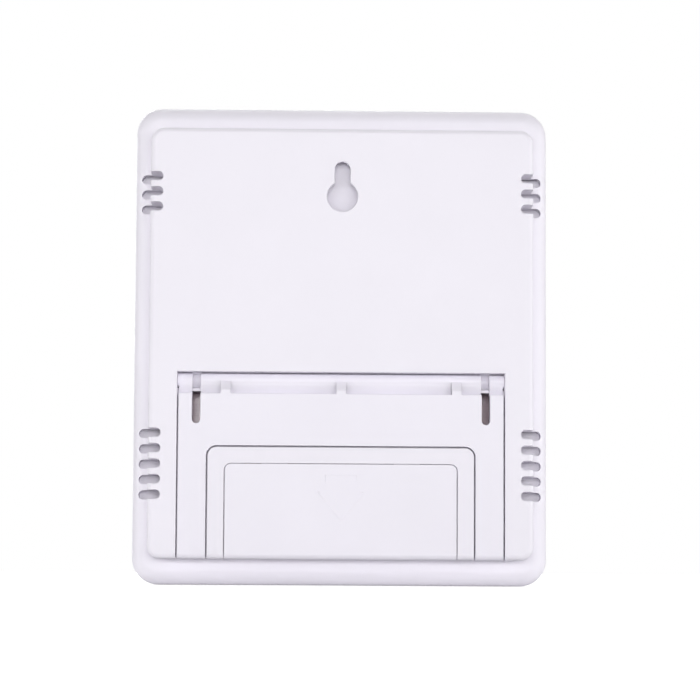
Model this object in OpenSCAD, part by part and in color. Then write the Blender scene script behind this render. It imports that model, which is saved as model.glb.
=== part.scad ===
// Digital temperature and humidity meter for a wall or a table, seen mostly from its back.
// X runs across the case, Z is up, and the rear panel faces +Y. The origin is under the middle of the case.

/* [Case] */
// Width of the case
body_w = 95; // [92:1:110]
// Height of the case
body_h = 110; // [108:1:125]
// Depth of the case, from its front face to the rear panel
body_d = 24.5; // [22:0.5:29]
// Corner radius of the case
corner_r = 6; // [5:0.5:9]
// Thickness of the case walls
wall = 2; // [1.8:0.1:2.3]
// Thickness of the front wall that carries the lens and the keys
front_wall = 2.4; // [2.2:0.1:2.8]
// Rounding of the front edge
front_edge_r = 2.2; // [1.2:0.1:3]
// Rounding of the rear border
rear_edge_r = 3.4; // [2:0.1:3.6]
// Depth of the rear cover's side, from its border to the parting line
rear_side_d = 5; // [4.5:0.1:6.5]
// Shadow gap along the parting line
parting_gap = 0.2; // [0.1:0.05:0.4]

/* [Rear panel] */
// Border beside the raised panel
border_side = 3.8; // [3.7:0.1:5]
// Border above and below the raised panel
border_end = 5.9; // [5.5:0.1:7]
// Height of the panel above the border
panel_rise = 7; // [5:0.1:7.4]
// Corner radius of the panel
panel_corner_r = 3; // [2.5:0.1:5]
// Rounding of the panel's edge
panel_edge_r = 1.2; // [0.6:0.1:1.5]

/* [Keyhole] */
// Radius of the round entry for a screw head
keyhole_r = 3.55; // [3:0.05:4.5]
// Width of the slot above it
keyhole_slot_w = 3.65; // [2.6:0.05:4.4]
// Rise from the entry's centre to the centre of the slot's end
keyhole_rise = 6.15; // [5:0.05:8]
// Distance from the panel's top edge to the entry's centre
keyhole_drop = 15.6; // [15:0.1:22]
// Thickness of the edge that holds a screw head
keyhole_lip = 1.2; // [0.9:0.1:1.8]
// Clear depth of the pocket below the panel's wall
keyhole_pocket_d = 2.8; // [2:0.1:3.6]

/* [Vents] */
// Width of each slot
vent_w = 2.15; // [1.4:0.05:2.6]
// Length of each slot
vent_l = 5.25; // [4.6:0.05:5.6]
// Distance from slot to slot
vent_pitch = 3.5; // [3.2:0.1:4.2]
// How far each slot reaches in from the panel's edge
vent_inset = 2.9; // [2.5:0.1:3.4]
// Slots in each upper group
upper_vents = 3; // [1:1:4]
// Slots in each lower group
lower_vents = 5; // [1:1:6]
// Distance from the panel's top edge to the middle of an upper group
upper_vent_drop = 14.7; // [12:0.05:20]
// Distance from the panel's bottom edge to the middle of a lower group
lower_vent_rise = 21.45; // [16:0.05:24]

/* [Stand] */
// Distance from the panel's edge to the stand's recess
stand_margin = 6.5; // [6.1:0.05:8]
// Gap around the folded stand
stand_gap = 0.35; // [0.25:0.05:0.5]
// Thickness of the stand
stand_t = 3; // [2.6:0.1:3.4]
// How far the stand and the battery door lie below the panel
sink = 0.1; // [0.05:0.05:0.3]
// Height of the bar that joins the legs
bar_h = 11.8; // [11.5:0.1:15]
// Rounding of the inner corners, and of the ring that they go round
window_r = 2.4; // [1.2:0.1:3]
// Distance from the top of the bar to the hinge axis
hinge_rise = 3.1; // [2.8:0.1:4]
// Depth of the hinge axis below the panel
hinge_depth = 3.6; // [3.4:0.1:4]
// Radius of the hinge barrel
barrel_r = 1.6; // [1.4:0.05:1.8]
// Gap between the hinge barrel and its trough
hinge_gap = 0.25; // [0.2:0.05:0.5]
// Radius of the hinge pins
pin_r = 0.9; // [0.7:0.05:1.1]
// Length of each hinge pin
pin_l = 1.5; // [1:0.1:1.8]
// Radial clearance of the hinge pins
pin_clear = 0.06; // [0.02:0.01:0.1]
// Width of the two flex slots that let the pins snap in
slot_w = 1.9; // [1.4:0.1:2.2]
// Distance from the stand's side to the middle of a flex slot
slot_inset = 4; // [3.6:0.1:5]
// Length of a flex slot below the bar's top
slot_l = 6.8; // [4:0.1:8]
// Width of the ribs behind the barrel
rib_w = 2.2; // [1.4:0.1:3]
// Distance from rib to rib
rib_pitch = 26.2; // [15:0.1:28]

/* [Battery compartment] */
// Diameter of a cell
cell_d = 10.5; // [10:0.1:10.8]
// Length of a cell with its nub
cell_l = 44.5; // [43.5:0.1:45.5]
// Clearance around a cell
cell_clear = 0.2; // [0.1:0.05:0.3]
// Room for the contacts at each end of the cells
contact_room = 2.95; // [2.7:0.05:3.2]
// Thickness of the compartment's walls
tub_wall = 1.2; // [1:0.1:1.4]
// Thickness of the compartment's floor under a cell
tub_floor = 1; // [0.8:0.1:1.2]
// Thickness of the wall between the lower cell and the panel's bottom edge
tub_end_wall = 0.95; // [0.8:0.05:1.2]
// Thickness of the door
door_t = 1.6; // [1.4:0.1:1.9]
// Gap around the door
door_gap = 0.2; // [0.15:0.05:0.3]
// Gap above the closed door
door_top_gap = 0.1; // [0.05:0.05:0.3]
// Radius of the door's upper corners
door_corner_r = 1.45; // [0.8:0.05:2]
// Width of the ring beside the door
ring_side = 3.7; // [3.4:0.05:4.2]
// Width of the ring above the door
ring_top = 3.65; // [3.3:0.05:4.2]
// Width of the tongues that run under the ring
tongue_w = 1.4; // [1:0.1:1.5]

/* [Display and keys] */
// Distance from the case's side to the lens
lens_side = 7.5; // [7:0.5:12]
// Distance from the top of the case to the lens
lens_top = 10.3; // [9:0.1:20]
// Thickness of the lens
lens_t = 1.2; // [1:0.1:1.3]
// Corner radius of the lens
lens_r = 3; // [2:0.5:5]
// Width of the ledge that the lens is stuck to
lens_ledge = 3; // [2.5:0.1:4]
// Thickness of the adhesive gasket under the lens
gasket_t = 0.15; // [0.1:0.05:0.25]
// Thickness of the display glass
lcd_t = 2.2; // [1.8:0.1:2.4]
// Thickness of the circuit board
board_t = 1.2; // [1:0.1:1.6]
// Width of a key
key_w = 15; // [10:0.5:18]
// Height of a key
key_h = 6.5; // [5:0.5:8]
// How far a key stands out of the front
key_proud = 0.8; // [0.7:0.1:1.2]
// Travel of a key
key_travel = 0.6; // [0.4:0.05:0.7]
// Distance from key to key
key_pitch = 24; // [22:0.5:26]
// Height of the keys above the base
key_z = 20; // [18:0.5:24]

/* [Hidden] */
$fn = 48;

shell_white = [0.93, 0.92, 0.95];
glass_grey = [0.62, 0.66, 0.62];
board_white = [0.86, 0.85, 0.87];
steel = [0.75, 0.75, 0.77];
brass = [0.80, 0.66, 0.36];
rubber_grey = [0.55, 0.55, 0.57];

// Overshoot of cutters and overlap of fused pieces
over = 0.5;
// Hairline gap between pieces that lie on each other
seat = 0.05;

// Lip of the front housing, which locates the rear cover and carries two snap hooks
lip_t = 1;
lip_clear = 0.15;
lip_h = 2.2;
lip_root = 2.6;
hook_x = 25;
hook_w = 7;
hook_out = 0.6;
hook_t = 1;

// Room around a screw head in the keyhole's pocket
keyhole_spare = 1.2;

// Thicker wall round the vent slots, the floor below them and how far both go beyond the slots
vent_wall_t = 0.9;
vent_floor_t = 0.8;
vent_spare = 1.2;

// Main planes along Y
y_back = (body_d + key_proud) / 2;
y_front = y_back - body_d;
y_border = y_back - panel_rise;
y_part = y_border - rear_side_d;
y_vent_floor = y_part + parting_gap / 2 + lip_clear;
y_panel_in = y_back - wall;
y_border_in = y_border - wall;
y_front_in = y_front + front_wall;
y_dress = y_back - sink;

// Raised panel, and the inner ends of its vent slots
panel_w = body_w - 2 * border_side;
panel_h = body_h - 2 * border_end;
panel_z0 = border_end;
panel_z1 = body_h - border_end;
vent_x = panel_w / 2 - vent_inset;

// Battery compartment and door, from the panel's bottom edge upwards
cell_r = cell_d / 2;
cradle_r = cell_r + cell_clear;
tub_x = cell_l / 2 + contact_room;
tub_z0 = panel_z0 + tub_end_wall;
lower_cell_z = tub_z0 + cradle_r;
upper_cell_z = lower_cell_z + cell_d + cell_clear;
tub_z1 = upper_cell_z + cradle_r;
y_door_in = y_dress - door_t;
y_cell = y_door_in - door_gap - cell_clear - cell_r;
y_tub_in = y_cell - cradle_r;
y_tub_out = y_tub_in - tub_floor;
cell_shift = 1.2;
button_l = 0.8;
button_r = 1.9;
door_land = 1.05;
door_x = tub_x + door_land;
door_lap = 1.05;
door_z1 = tub_z1 - door_lap;
ring_x = door_x + door_gap + ring_side;
ring_z1 = door_z1 + door_top_gap + ring_top;
y_lip = y_door_in + door_gap;
tongue_t = 1.4;
tongue_inset = 4;
tongue_z0 = panel_z0 + tongue_inset;
tongue_z1 = door_z1 - tongue_inset;
y_tongue = y_door_in - tongue_t;
tab_x = 15;
tab_w = 6;
tab_reach = 1.3;
tab_t = 0.8;

// Stand, from the ring outwards
recess_x = panel_w / 2 - stand_margin;
stand_x = recess_x - stand_gap;
window_x = ring_x + stand_gap;
window_z1 = ring_z1 + stand_gap;
bar_z1 = window_z1 + bar_h;
axis_z = bar_z1 + hinge_rise;
y_axis = y_back - hinge_depth;
trough_r = barrel_r + hinge_gap;
recess_z1 = axis_z + trough_r;
stand_under = 0.2;
y_stand_in = y_dress - stand_t;
y_recess = y_stand_in - stand_under;
recess_floor_t = 1.5;
recess_wall = 1.5;
slot_x = stand_x - slot_inset;
slot_z0 = bar_z1 - slot_l;
crown_lap = 0.15;
y_web = y_axis + barrel_r - crown_lap;
nub_r = 0.9;
nub_out = stand_gap - seat;
nub_drop = 3.7;
nub_z = bar_z1 - nub_drop;
nub_y = y_dress - stand_t / 2;
floor_slot_side = 0.75;
floor_slot_low = 0.6;
floor_slot_drop = 0.6;

// Screws that hold the two halves, under the bar of the stand
case_screw_x = 22;
case_screw_z = window_z1 + bar_h / 2;
screw_head_r = 2.4;
screw_head_h = 1.7;
screw_r = 1.2;
screw_clear = 0.05;
hole_clear = 0.2;
head_sink = 0.2;
screw_l = 10;
boss_r = 3;
post_wall = 1;
y_screw_seat = y_recess - screw_head_h - head_sink;
post_rise = 2.6;
y_post = y_part + post_rise;

// Display stack behind the front wall
lens_gap = 0.15;
lens_boss_gap = 1.2;
lens_z0 = case_screw_z + boss_r + lens_boss_gap;
lens_w = body_w - 2 * lens_side;
lens_h = body_h - lens_top - lens_z0;
lens_zc = lens_z0 + lens_h / 2;
y_lens = y_front + sink;
y_gasket = y_lens + lens_t;
y_ledge = y_gasket + gasket_t;
frame_wall = 1.5;
frame_gap = 0.15;
lcd_w = lens_w - 2 * frame_wall - 4 * frame_gap;
lcd_h = lens_h - 2 * frame_wall - 4 * frame_gap;
y_lcd = y_front_in + seat;
lcd_ledge = 3;
board_gap = 0.6;
y_board = y_tub_out - board_gap - board_t;
y_board_rear = y_board + board_t;
zebra_h = 2.2;
board_x = body_w / 2 - wall - lip_clear - lip_t - seat;
board_z0 = 9;
board_above_lens = 1.8;
board_z1 = lens_z0 + lens_h + board_above_lens;
board_r = 2.5;
board_screw_inset = 2.3;
board_screw_x = board_x - board_screw_inset;
board_screw_rise = 3.2;
board_screw_drop = 4;
board_screw_zs = [board_z0 + board_screw_rise, board_z1 - board_screw_drop];
board_boss_r = 1.9;
board_screw_r = 0.9;
board_head_r = 1.7;
board_head_h = 1.2;
board_screw_l = 4;

// Keys and the rubber pad under them
key_gap = 0.2;
key_flange = 0.9;
key_flange_t = 0.8;
key_xs = [-key_pitch, 0, key_pitch];
y_key_flange = y_front_in + key_gap;
key_edge_r = 0.5;
stem_r = 2.5;
pad_t = 0.8;
pad_side = 7;
pad_w = 2 * (key_pitch + pad_side);
pad_h = 12;
pad_r = 2;
y_pad = y_board - seat - pad_t;
dome_r = 3.2;
dome_tip_r = 2;
pressed_dome_h = 0.85;
y_dome_tip = y_pad - pressed_dome_h - key_travel;
y_key_end = y_dome_tip - 2 * seat;

// Contacts and cell springs
plate_t = 0.4;
plate_w = 8;
plate_x = tub_x - seat;
tail_l = 2.4;
tail_w = 2;
tail_drop = 3;
y_tail = y_cell - tail_drop;
bump_base_r = 2.6;
bump_tip_r = 1.6;
battery_lead_r = 0.6;
battery_lead_reach = 3.2;
spring_wire_r = 0.3;
spring_turns = 3;
spring_base_r = 3.4;
spring_tip_r = 2;
spring_steps = 8;
spring_x0 = plate_x - plate_t - seat - spring_wire_r;
spring_x1 = cell_l / 2 - cell_shift + seat + spring_wire_r;

// Sounder on the inside of the panel
buzzer_r = 7.5;
buzzer_t = 0.25;
buzzer_ring_t = 1.2;
buzzer_ledge = 1.4;
buzzer_clear = 0.15;
buzzer_stand_off = 1;
ceramic_r = 5;
buzzer_lead_r = 0.4;
buzzer_lead_x = 3;
buzzer_lead_drop = 8;
buzzer_z = (recess_z1 + panel_z1 - keyhole_drop - keyhole_r) / 2;
y_buzzer = y_panel_in - buzzer_stand_off;

// Small pieces on the board
chip_rise = 1.4;
chip_r = 7;
crystal_x = 16;
crystal_r = 1;
crystal_l = 6;
crystal_wire_r = 0.15;
crystal_wire_l = 2;
crystal_wire_x = 0.4;

// Sensors stand on the board, beside the wall of the lower vents
sensor_z = panel_z0 + lower_vent_rise;
sensor_off = 1.5;
sensor_x = vent_x - vent_wall_t - sensor_off;
bead_r = 1.2;
bead_leg_l = 4.5;
bead_leg_r = 0.25;
bead_leg_z = 0.6;
humidity_w = 2.4;
humidity_h = 10;
humidity_d = 5.5;
humidity_leg_l = 1.5;
humidity_leg_r = 0.3;
humidity_leg_z = 2.5;
humidity_slot_h = 1.2;
humidity_slot_d = 0.6;
humidity_slot_pitch = 2.6;

// Turns a drawing in X and Z into a solid that grows towards +Y from the plane y
module toward_back(y, z = 0) {
    translate([0, y, z]) mirror([0, 1, 0]) rotate([90, 0, 0]) children();
}

// Turns a drawing in X and Z into a solid that grows towards -Y from the plane y
module toward_front(y, z = 0) {
    translate([0, y, z]) rotate([90, 0, 0]) children();
}

// Plate with the drawn outline, between two planes
module plate(y0, y1) {
    toward_back(y0) linear_extrude(y1 - y0) children();
}

// Solid with a profile drawn in Y and Z, that runs along X from x0 to x1
module bar_along_x(x0, x1) {
    translate([x0, 0, 0]) rotate([90, 0, 90]) linear_extrude(x1 - x0) children();
}

module rod_along_x(x0, x1, y, z, r) {
    translate([x0, y, z]) rotate([0, 90, 0]) cylinder(r = r, h = x1 - x0);
}

module rod_along_y(y0, y1, x, z, r) {
    translate([x, y1, z]) rotate([90, 0, 0]) cylinder(r = r, h = y1 - y0);
}

module block(x0, x1, y0, y1, z0, z1) {
    translate([x0, y0, z0]) cube([x1 - x0, y1 - y0, z1 - z0]);
}

module both_sides() {
    children();
    mirror([1, 0, 0]) children();
}

module quarter_disc(r) {
    intersection() {
        circle(r);
        square(r);
    }
}

module half_disc(r) {
    intersection() {
        circle(r);
        translate([-r, 0]) square([2 * r, r]);
    }
}

// Rectangle with round corners, centred
module rounded_rect(w, h, r) {
    square([w - 2 * r, h], center = true);
    for (s = [0, 1]) mirror([s, 0]) {
        translate([w / 2 - r, r - h / 2]) square([r, h - 2 * r]);
        for (t = [0, 1]) mirror([0, t]) translate([w / 2 - r, h / 2 - r]) quarter_disc(r);
    }
}

// Upright slot with round ends, between two centres
module upright_slot(z0, z1, r) {
    translate([-r, z0]) square([2 * r, z1 - z0]);
    translate([0, z1]) half_disc(r);
    translate([0, z0]) mirror([0, 1]) half_disc(r);
}

// Half of the section of a rounded plate: a radius along x, a height along y and a round upper edge
module edge_section(r, d, e) {
    square([r, d - e]);
    translate([0, d - e]) square([r - e, e]);
    translate([r - e, d - e]) quarter_disc(e);
}

// Rounded plate with a round upper edge
module soft_block(w, h, r, d, e) {
    run_x = w - 2 * r;
    run_y = h - 2 * r;
    translate([-run_x / 2, -run_y / 2, 0]) cube([run_x, run_y, d]);
    for (s = [0, 1]) mirror([s, 0, 0]) {
        translate([run_x / 2, run_y / 2, 0]) rotate([90, 0, 0]) linear_extrude(run_y) edge_section(r, d, e);
        for (t = [0, 1]) mirror([0, t, 0]) translate([run_x / 2, run_y / 2, 0])
            rotate_extrude(angle = 90) edge_section(r, d, e);
    }
    for (t = [0, 1]) mirror([0, t, 0])
        translate([-run_x / 2, run_y / 2, 0]) rotate([90, 0, 90]) linear_extrude(run_x)
            edge_section(r, d, e);
}

// Outline with round upper corners, which runs past the panel's bottom edge
module sill_outline(x, z1, r) {
    translate([0, panel_z0]) rounded_rect(2 * x, 2 * (z1 - panel_z0), r);
}

// The raised panel's outer form, lowered by a given depth
module panel_form(y0, lower = 0) {
    toward_back(y0, body_h / 2)
        soft_block(panel_w, panel_h, panel_corner_r, y_back - lower - y0, panel_edge_r);
}

// Points around a path point, for a tube of a given radius
function tube_ring(p, along, ref, r, sides) =
    let (u = cross(along, ref) / norm(cross(along, ref)), v = cross(along, u) / norm(cross(along, u)))
    [for (k = [0:sides - 1]) p + r * (cos(360 * k / sides) * u + sin(360 * k / sides) * v)];

// Direction of a path at one of its points
function path_way(path, i) =
    path[min(i + 1, len(path) - 1)] - path[max(i - 1, 0)];

// Closed tube along a path; ref is a direction that the path never takes
module tube(path, r, sides, ref) {
    n = len(path);
    rings = [for (i = [0:n - 1]) each tube_ring(path[i], path_way(path, i), ref, r, sides)];
    walls = [for (i = [0:n - 2], k = [0:sides - 1]) let (a = i * sides + k, b = i * sides + (k + 1) % sides)
        each [[a, b, a + sides], [b, b + sides, a + sides]]];
    start_cap = [for (k = [1:sides - 2]) [0, k + 1, k]];
    last = (n - 1) * sides;
    end_cap = [for (k = [1:sides - 2]) [last, last + k, last + k + 1]];
    polyhedron(points = rings, faces = concat(walls, start_cap, end_cap));
}

// Outer skin of the rear cover: the rounded border and the raised panel
module rear_skin() {
    rim = y_part + parting_gap / 2;
    toward_back(rim, body_h / 2) soft_block(body_w, body_h, corner_r, y_border - rim, rear_edge_r);
    panel_form(y_border_in);
}

module rear_hollow() {
    rim = y_part + parting_gap / 2 - over;
    toward_back(rim, body_h / 2) linear_extrude(y_border_in - rim)
        rounded_rect(body_w - 2 * wall, body_h - 2 * wall, corner_r - wall);
    toward_back(rim, body_h / 2) linear_extrude(y_panel_in - rim)
        rounded_rect(panel_w - 2 * wall, panel_h - 2 * wall, max(panel_corner_r - wall, over));
}

// Walls of the stand's recess and of the hinge trough, inside the cover
module recess_walls() {
    x = recess_x + recess_wall;
    top = y_back - wall / 2;
    z1 = recess_z1 + recess_wall;
    trough_out = trough_r + recess_wall;
    block(-x, x, y_recess - recess_floor_t, top, panel_z0 + wall / 2, z1);
    block(-x, x, y_axis - trough_out, y_recess, axis_z - trough_out, z1);
}

// Battery compartment, which hangs from the panel
module tub_walls() {
    x = tub_x + tub_wall;
    block(-x, x, y_tub_out, y_border_in + over, panel_z0, tub_z1 + tub_wall);
    block(-x, x, y_border_in, y_back - wall / 2, panel_z0 + wall / 2, tub_z1 + tub_wall);
}

module keyhole_outline(r_entry, r_slot) {
    z = panel_z1 - keyhole_drop;
    translate([0, z]) circle(r_entry);
    upright_slot(z, z + keyhole_rise, r_slot);
}

// Pocket behind the keyhole, wide enough for the screw's head, grown by the thickness of its walls
module keyhole_pocket(wall_t, y1) {
    z = panel_z1 - keyhole_drop;
    plate(y_panel_in - keyhole_pocket_d - wall_t, y1)
        upright_slot(z, z + keyhole_rise, keyhole_r + keyhole_spare + wall_t);
}

// Middle and number of the slots in each group of vents
function vent_groups() =
    [[panel_z1 - upper_vent_drop, upper_vents], [panel_z0 + lower_vent_rise, lower_vents]];

// Half of the height of a group with n slots
function vent_half(n) = (n - 1) / 2 * vent_pitch + vent_w / 2 + vent_spare;

// Slots over the panel's edge, through its side wall and the border
module vent_slots() {
    r = vent_w / 2;
    both_sides() for (g = vent_groups(), i = [0:g[1] - 1])
        translate([vent_x + r, 0, g[0] + (i - (g[1] - 1) / 2) * vent_pitch])
            plate(y_vent_floor + vent_floor_t, y_back + over)
                rotate(-90) upright_slot(0, vent_l - vent_w, r);
}

// Thicker side wall round each group of vents, and a floor that keeps the slots from looking into the case
module vent_walls() {
    both_sides() for (g = vent_groups()) {
        z0 = g[0] - vent_half(g[1]);
        z1 = g[0] + vent_half(g[1]);
        block(vent_x - vent_wall_t, panel_w / 2 - wall / 2, y_border_in, y_panel_in + over, z0, z1);
        block(vent_x - vent_wall_t, body_w / 2 - wall / 2, y_vent_floor, y_vent_floor + vent_floor_t, z0, z1);
    }
}

// Gaps in the front housing's lip for the floors of the vents
module vent_lip_gaps() {
    x = body_w / 2 - wall;
    both_sides() for (g = vent_groups()) {
        half = vent_half(g[1]) + lip_clear;
        block(x - 2 * lip_clear - lip_t - over, x + over, y_part, y_border_in, g[0] - half, g[0] + half);
    }
}

// Space of the folded stand: a flat recess round the ring, and the trough for the hinge barrel
module stand_recess() {
    difference() {
        plate(y_recess, y_back + over) translate([-recess_x, panel_z0 - over])
            square([2 * recess_x, axis_z - panel_z0 + over]);
        plate(y_recess - over, y_back + 2 * over) sill_outline(ring_x, ring_z1, window_r - stand_gap);
    }
    bar_along_x(-recess_x, recess_x) {
        translate([y_axis, axis_z - trough_r]) square([hinge_depth + over, 2 * trough_r]);
        translate([y_axis, axis_z]) rotate(90) half_disc(trough_r);
    }
}

// Openings in the recess floor below the flex slots, a little below the hinge trough
module floor_slots() {
    half = slot_w / 2 + floor_slot_side;
    both_sides() block(slot_x - half, slot_x + half, y_axis - trough_r - recess_wall - over, y_recess + over,
        slot_z0 - floor_slot_low, axis_z - trough_r - floor_slot_drop);
}

// Bores for the stand's pins in the side walls of its recess
module hinge_bores() {
    both_sides() rod_along_x(recess_x - over, recess_x + recess_wall + over, y_axis, axis_z,
        pin_r + pin_clear);
}

// Space of the door, its side tongues and its upper tabs
module door_space() {
    gap = door_gap;
    y_under = y_door_in - gap / 2;
    half = tab_w / 2 + gap;
    plate(y_under, y_back + over) sill_outline(door_x + gap, door_z1 + door_top_gap, door_corner_r + gap);
    both_sides() {
        block(tub_x - over, door_x + tongue_w + gap, y_tongue - gap, y_lip,
            panel_z0 - over, tongue_z1 + gap);
        block(tab_x - half, tab_x + half, y_under, y_door_in + tab_t + gap,
            door_z1 - door_corner_r, door_z1 + tab_reach + gap);
    }
}

// Two cradles for the cells, and the open space above them
module tub_space() {
    for (z = [lower_cell_z, upper_cell_z]) rod_along_x(-tub_x, tub_x, y_cell, z, cradle_r);
    block(-tub_x, tub_x, y_cell, y_door_in, tub_z0, tub_z1);
}

module rear_cover() {
    color(shell_white) difference() {
        union() {
            difference() {
                rear_skin();
                rear_hollow();
            }
            recess_walls();
            vent_walls();
            tub_walls();
            keyhole_pocket(tub_wall, y_panel_in + over);
            both_sides() rod_along_y(y_post, y_recess - over, case_screw_x, case_screw_z,
                boss_r + post_wall);
            buzzer_seat();
        }
        stand_recess();
        floor_slots();
        door_space();
        tub_space();
        hinge_bores();
        plate(y_panel_in - over, y_back + over) keyhole_outline(keyhole_r, keyhole_slot_w / 2);
        keyhole_pocket(0, y_back - keyhole_lip);
        vent_slots();
        both_sides() {
            rod_along_y(y_screw_seat, y_recess + over, case_screw_x, case_screw_z,
                screw_head_r + hole_clear);
            rod_along_y(y_post - over, y_recess, case_screw_x, case_screw_z, screw_r + hole_clear);
        }
        contact_tail_slots();
        hook_pockets();
    }
}

// Slots through the compartment's end wall for the tails of the two end contacts
module contact_tail_slots() {
    half = tail_w / 2 + hole_clear;
    for (z = [lower_cell_z, upper_cell_z])
        block(-tub_x - tub_wall - over, -tub_x + over, y_tail - hole_clear, y_tail + plate_t + hole_clear,
            z - half, z + half);
}

// Round wall and stepped ledge for the sounder, inside the panel
module buzzer_seat() {
    r = buzzer_r + buzzer_clear;
    y_wall = y_buzzer - buzzer_t - over;
    difference() {
        rod_along_y(y_wall, y_panel_in + over, 0, buzzer_z, r + buzzer_ring_t);
        rod_along_y(y_wall - over, y_buzzer, 0, buzzer_z, r);
        rod_along_y(y_buzzer - over, y_panel_in, 0, buzzer_z, r - buzzer_ledge);
    }
}

// Pockets in the cover's top wall for the front housing's two hooks
module hook_pockets() {
    z = body_h - wall;
    y = y_part + lip_h - hook_t;
    half = hook_w / 2 + 2 * lip_clear;
    both_sides() block(hook_x - half, hook_x + half, y - lip_clear, y + hook_t + 2 * lip_clear,
        z - over, z + hook_out);
}

module front_housing() {
    rim = y_part - parting_gap / 2;
    color(shell_white) difference() {
        union() {
            difference() {
                toward_front(rim, body_h / 2)
                    soft_block(body_w, body_h, corner_r, rim - y_front, front_edge_r);
                toward_back(y_front_in, body_h / 2) linear_extrude(rim - y_front_in + over)
                    rounded_rect(body_w - 2 * wall, body_h - 2 * wall, corner_r - wall);
            }
            housing_lip(rim);
            both_sides() {
                rod_along_y(y_front_in - over, y_post - seat, case_screw_x, case_screw_z, boss_r);
                for (z = board_screw_zs)
                    rod_along_y(y_front_in - over, y_board - seat, board_screw_x, z, board_boss_r);
            }
        }
        lens_opening();
        vent_lip_gaps();
        for (x = key_xs) translate([x, 0, key_z]) plate(y_front - over, y_front_in + over)
            rounded_rect(key_w + 2 * key_gap, key_h + 2 * key_gap, (key_h + key_gap) / 2);
        both_sides() {
            rod_along_y(y_front_in, y_post, case_screw_x, case_screw_z, screw_r + screw_clear);
            for (z = board_screw_zs)
                rod_along_y(y_front_in, y_board, board_screw_x, z, board_screw_r + screw_clear);
        }
    }
}

// Lip that locates the rear cover, with two snap hooks at the top
module housing_lip(rim) {
    outer = wall + lip_clear;
    inner = outer + lip_t;
    toward_back(rim - lip_root, body_h / 2) linear_extrude(lip_root + lip_h) lip_outline(outer, inner);
    toward_back(rim - lip_root, body_h / 2) linear_extrude(lip_root) lip_outline(wall - over, inner);
    z = body_h - outer;
    y = y_part + lip_h - hook_t;
    y_tip = y + hook_t - lip_clear;
    both_sides() bar_along_x(hook_x - hook_w / 2, hook_x + hook_w / 2)
        polygon([[y, z - over], [y, z + hook_out], [y_tip, z], [y_tip, z - over]]);
}

module lip_outline(outer, inner) {
    difference() {
        rounded_rect(body_w - 2 * outer, body_h - 2 * outer, corner_r - outer);
        rounded_rect(body_w - 2 * inner, body_h - 2 * inner, corner_r - inner);
    }
}

// Stepped opening for the lens and its ledge
module lens_opening() {
    toward_back(y_front - over, lens_zc) linear_extrude(y_ledge - y_front + over)
        rounded_rect(lens_w + 2 * lens_gap, lens_h + 2 * lens_gap, lens_r + lens_gap);
    toward_back(y_front, lens_zc) linear_extrude(front_wall + over)
        rounded_rect(lens_w - 2 * lens_ledge, lens_h - 2 * lens_ledge, lens_r);
}

// U-shaped stand with its hinge barrel, ribs, collars, pins, flex slots and side nubs
module stand() {
    color(shell_white) {
        difference() {
            union() {
                stand_plate();
                block(-stand_x, stand_x, y_stand_in, y_web, bar_z1 - over, axis_z);
                rod_along_x(-stand_x, stand_x, y_axis, axis_z, barrel_r);
                for (i = [-1:1]) translate([i * rib_pitch, 0, 0]) barrel_rib();
            }
            both_sides() translate([slot_x, 0, 0]) plate(y_axis - barrel_r - over, y_dress + over)
                flex_slot_outline();
        }
        both_sides() {
            rod_along_x(stand_x - over, stand_x + stand_gap - seat, y_axis, axis_z, barrel_r);
            rod_along_x(stand_x - over, stand_x + stand_gap + pin_l, y_axis, axis_z, pin_r);
            side_nub();
        }
    }
}

// Two legs and the bar that joins them, with the rounded lower edge of the panel
module stand_plate() {
    intersection() {
        difference() {
            plate(y_stand_in, y_dress) translate([-stand_x, panel_z0])
                square([2 * stand_x, bar_z1 - panel_z0]);
            plate(y_stand_in - over, y_dress + over) sill_outline(window_x, window_z1, window_r);
        }
        panel_form(y_stand_in - over, sink);
    }
}

// Sloped rib from the bar's face down to the barrel
module barrel_rib() {
    y_root = y_stand_in + over;
    y_crown = y_web + crown_lap / 2;
    bar_along_x(-rib_w / 2, rib_w / 2) polygon([[y_root, bar_z1 - over], [y_dress, bar_z1 - over],
        [y_dress, bar_z1], [y_crown, axis_z], [y_root, axis_z]]);
}

// Flex slot, open at the top of the stand
module flex_slot_outline() {
    r = slot_w / 2;
    translate([-r, slot_z0 + r]) square([slot_w, recess_z1 - slot_z0]);
    translate([0, slot_z0 + r]) mirror([0, 1]) half_disc(r);
}

// Round nub on the stand's side, which centres the stand in its recess
module side_nub() {
    translate([stand_x + nub_out - nub_r, nub_y, nub_z]) sphere(nub_r);
}

// Sliding battery door with side tongues and upper tabs
module battery_door() {
    color(shell_white) {
        intersection() {
            plate(y_door_in, y_dress) sill_outline(door_x, door_z1, door_corner_r);
            panel_form(y_door_in - over, sink);
        }
        both_sides() {
            block(tub_x + door_gap, door_x - door_gap, y_tongue, y_door_in + over, tongue_z0, tongue_z1);
            block(tub_x + door_gap, door_x + tongue_w, y_tongue, y_door_in - door_gap,
                tongue_z0, tongue_z1);
            block(tab_x - tab_w / 2, tab_x + tab_w / 2, y_door_in, y_door_in + tab_t,
                door_z1 - over, door_z1 + tab_reach);
        }
    }
}

module display_lens() {
    color([0.15, 0.16, 0.17, 0.6]) toward_back(y_lens, lens_zc) linear_extrude(lens_t)
        rounded_rect(lens_w, lens_h, lens_r);
}

module lens_gasket() {
    color("black") toward_back(y_gasket, lens_zc) linear_extrude(gasket_t) difference() {
        rounded_rect(lens_w - 2 * frame_gap, lens_h - 2 * frame_gap, lens_r);
        rounded_rect(lens_w - 2 * lens_ledge, lens_h - 2 * lens_ledge, lens_r);
    }
}

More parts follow.
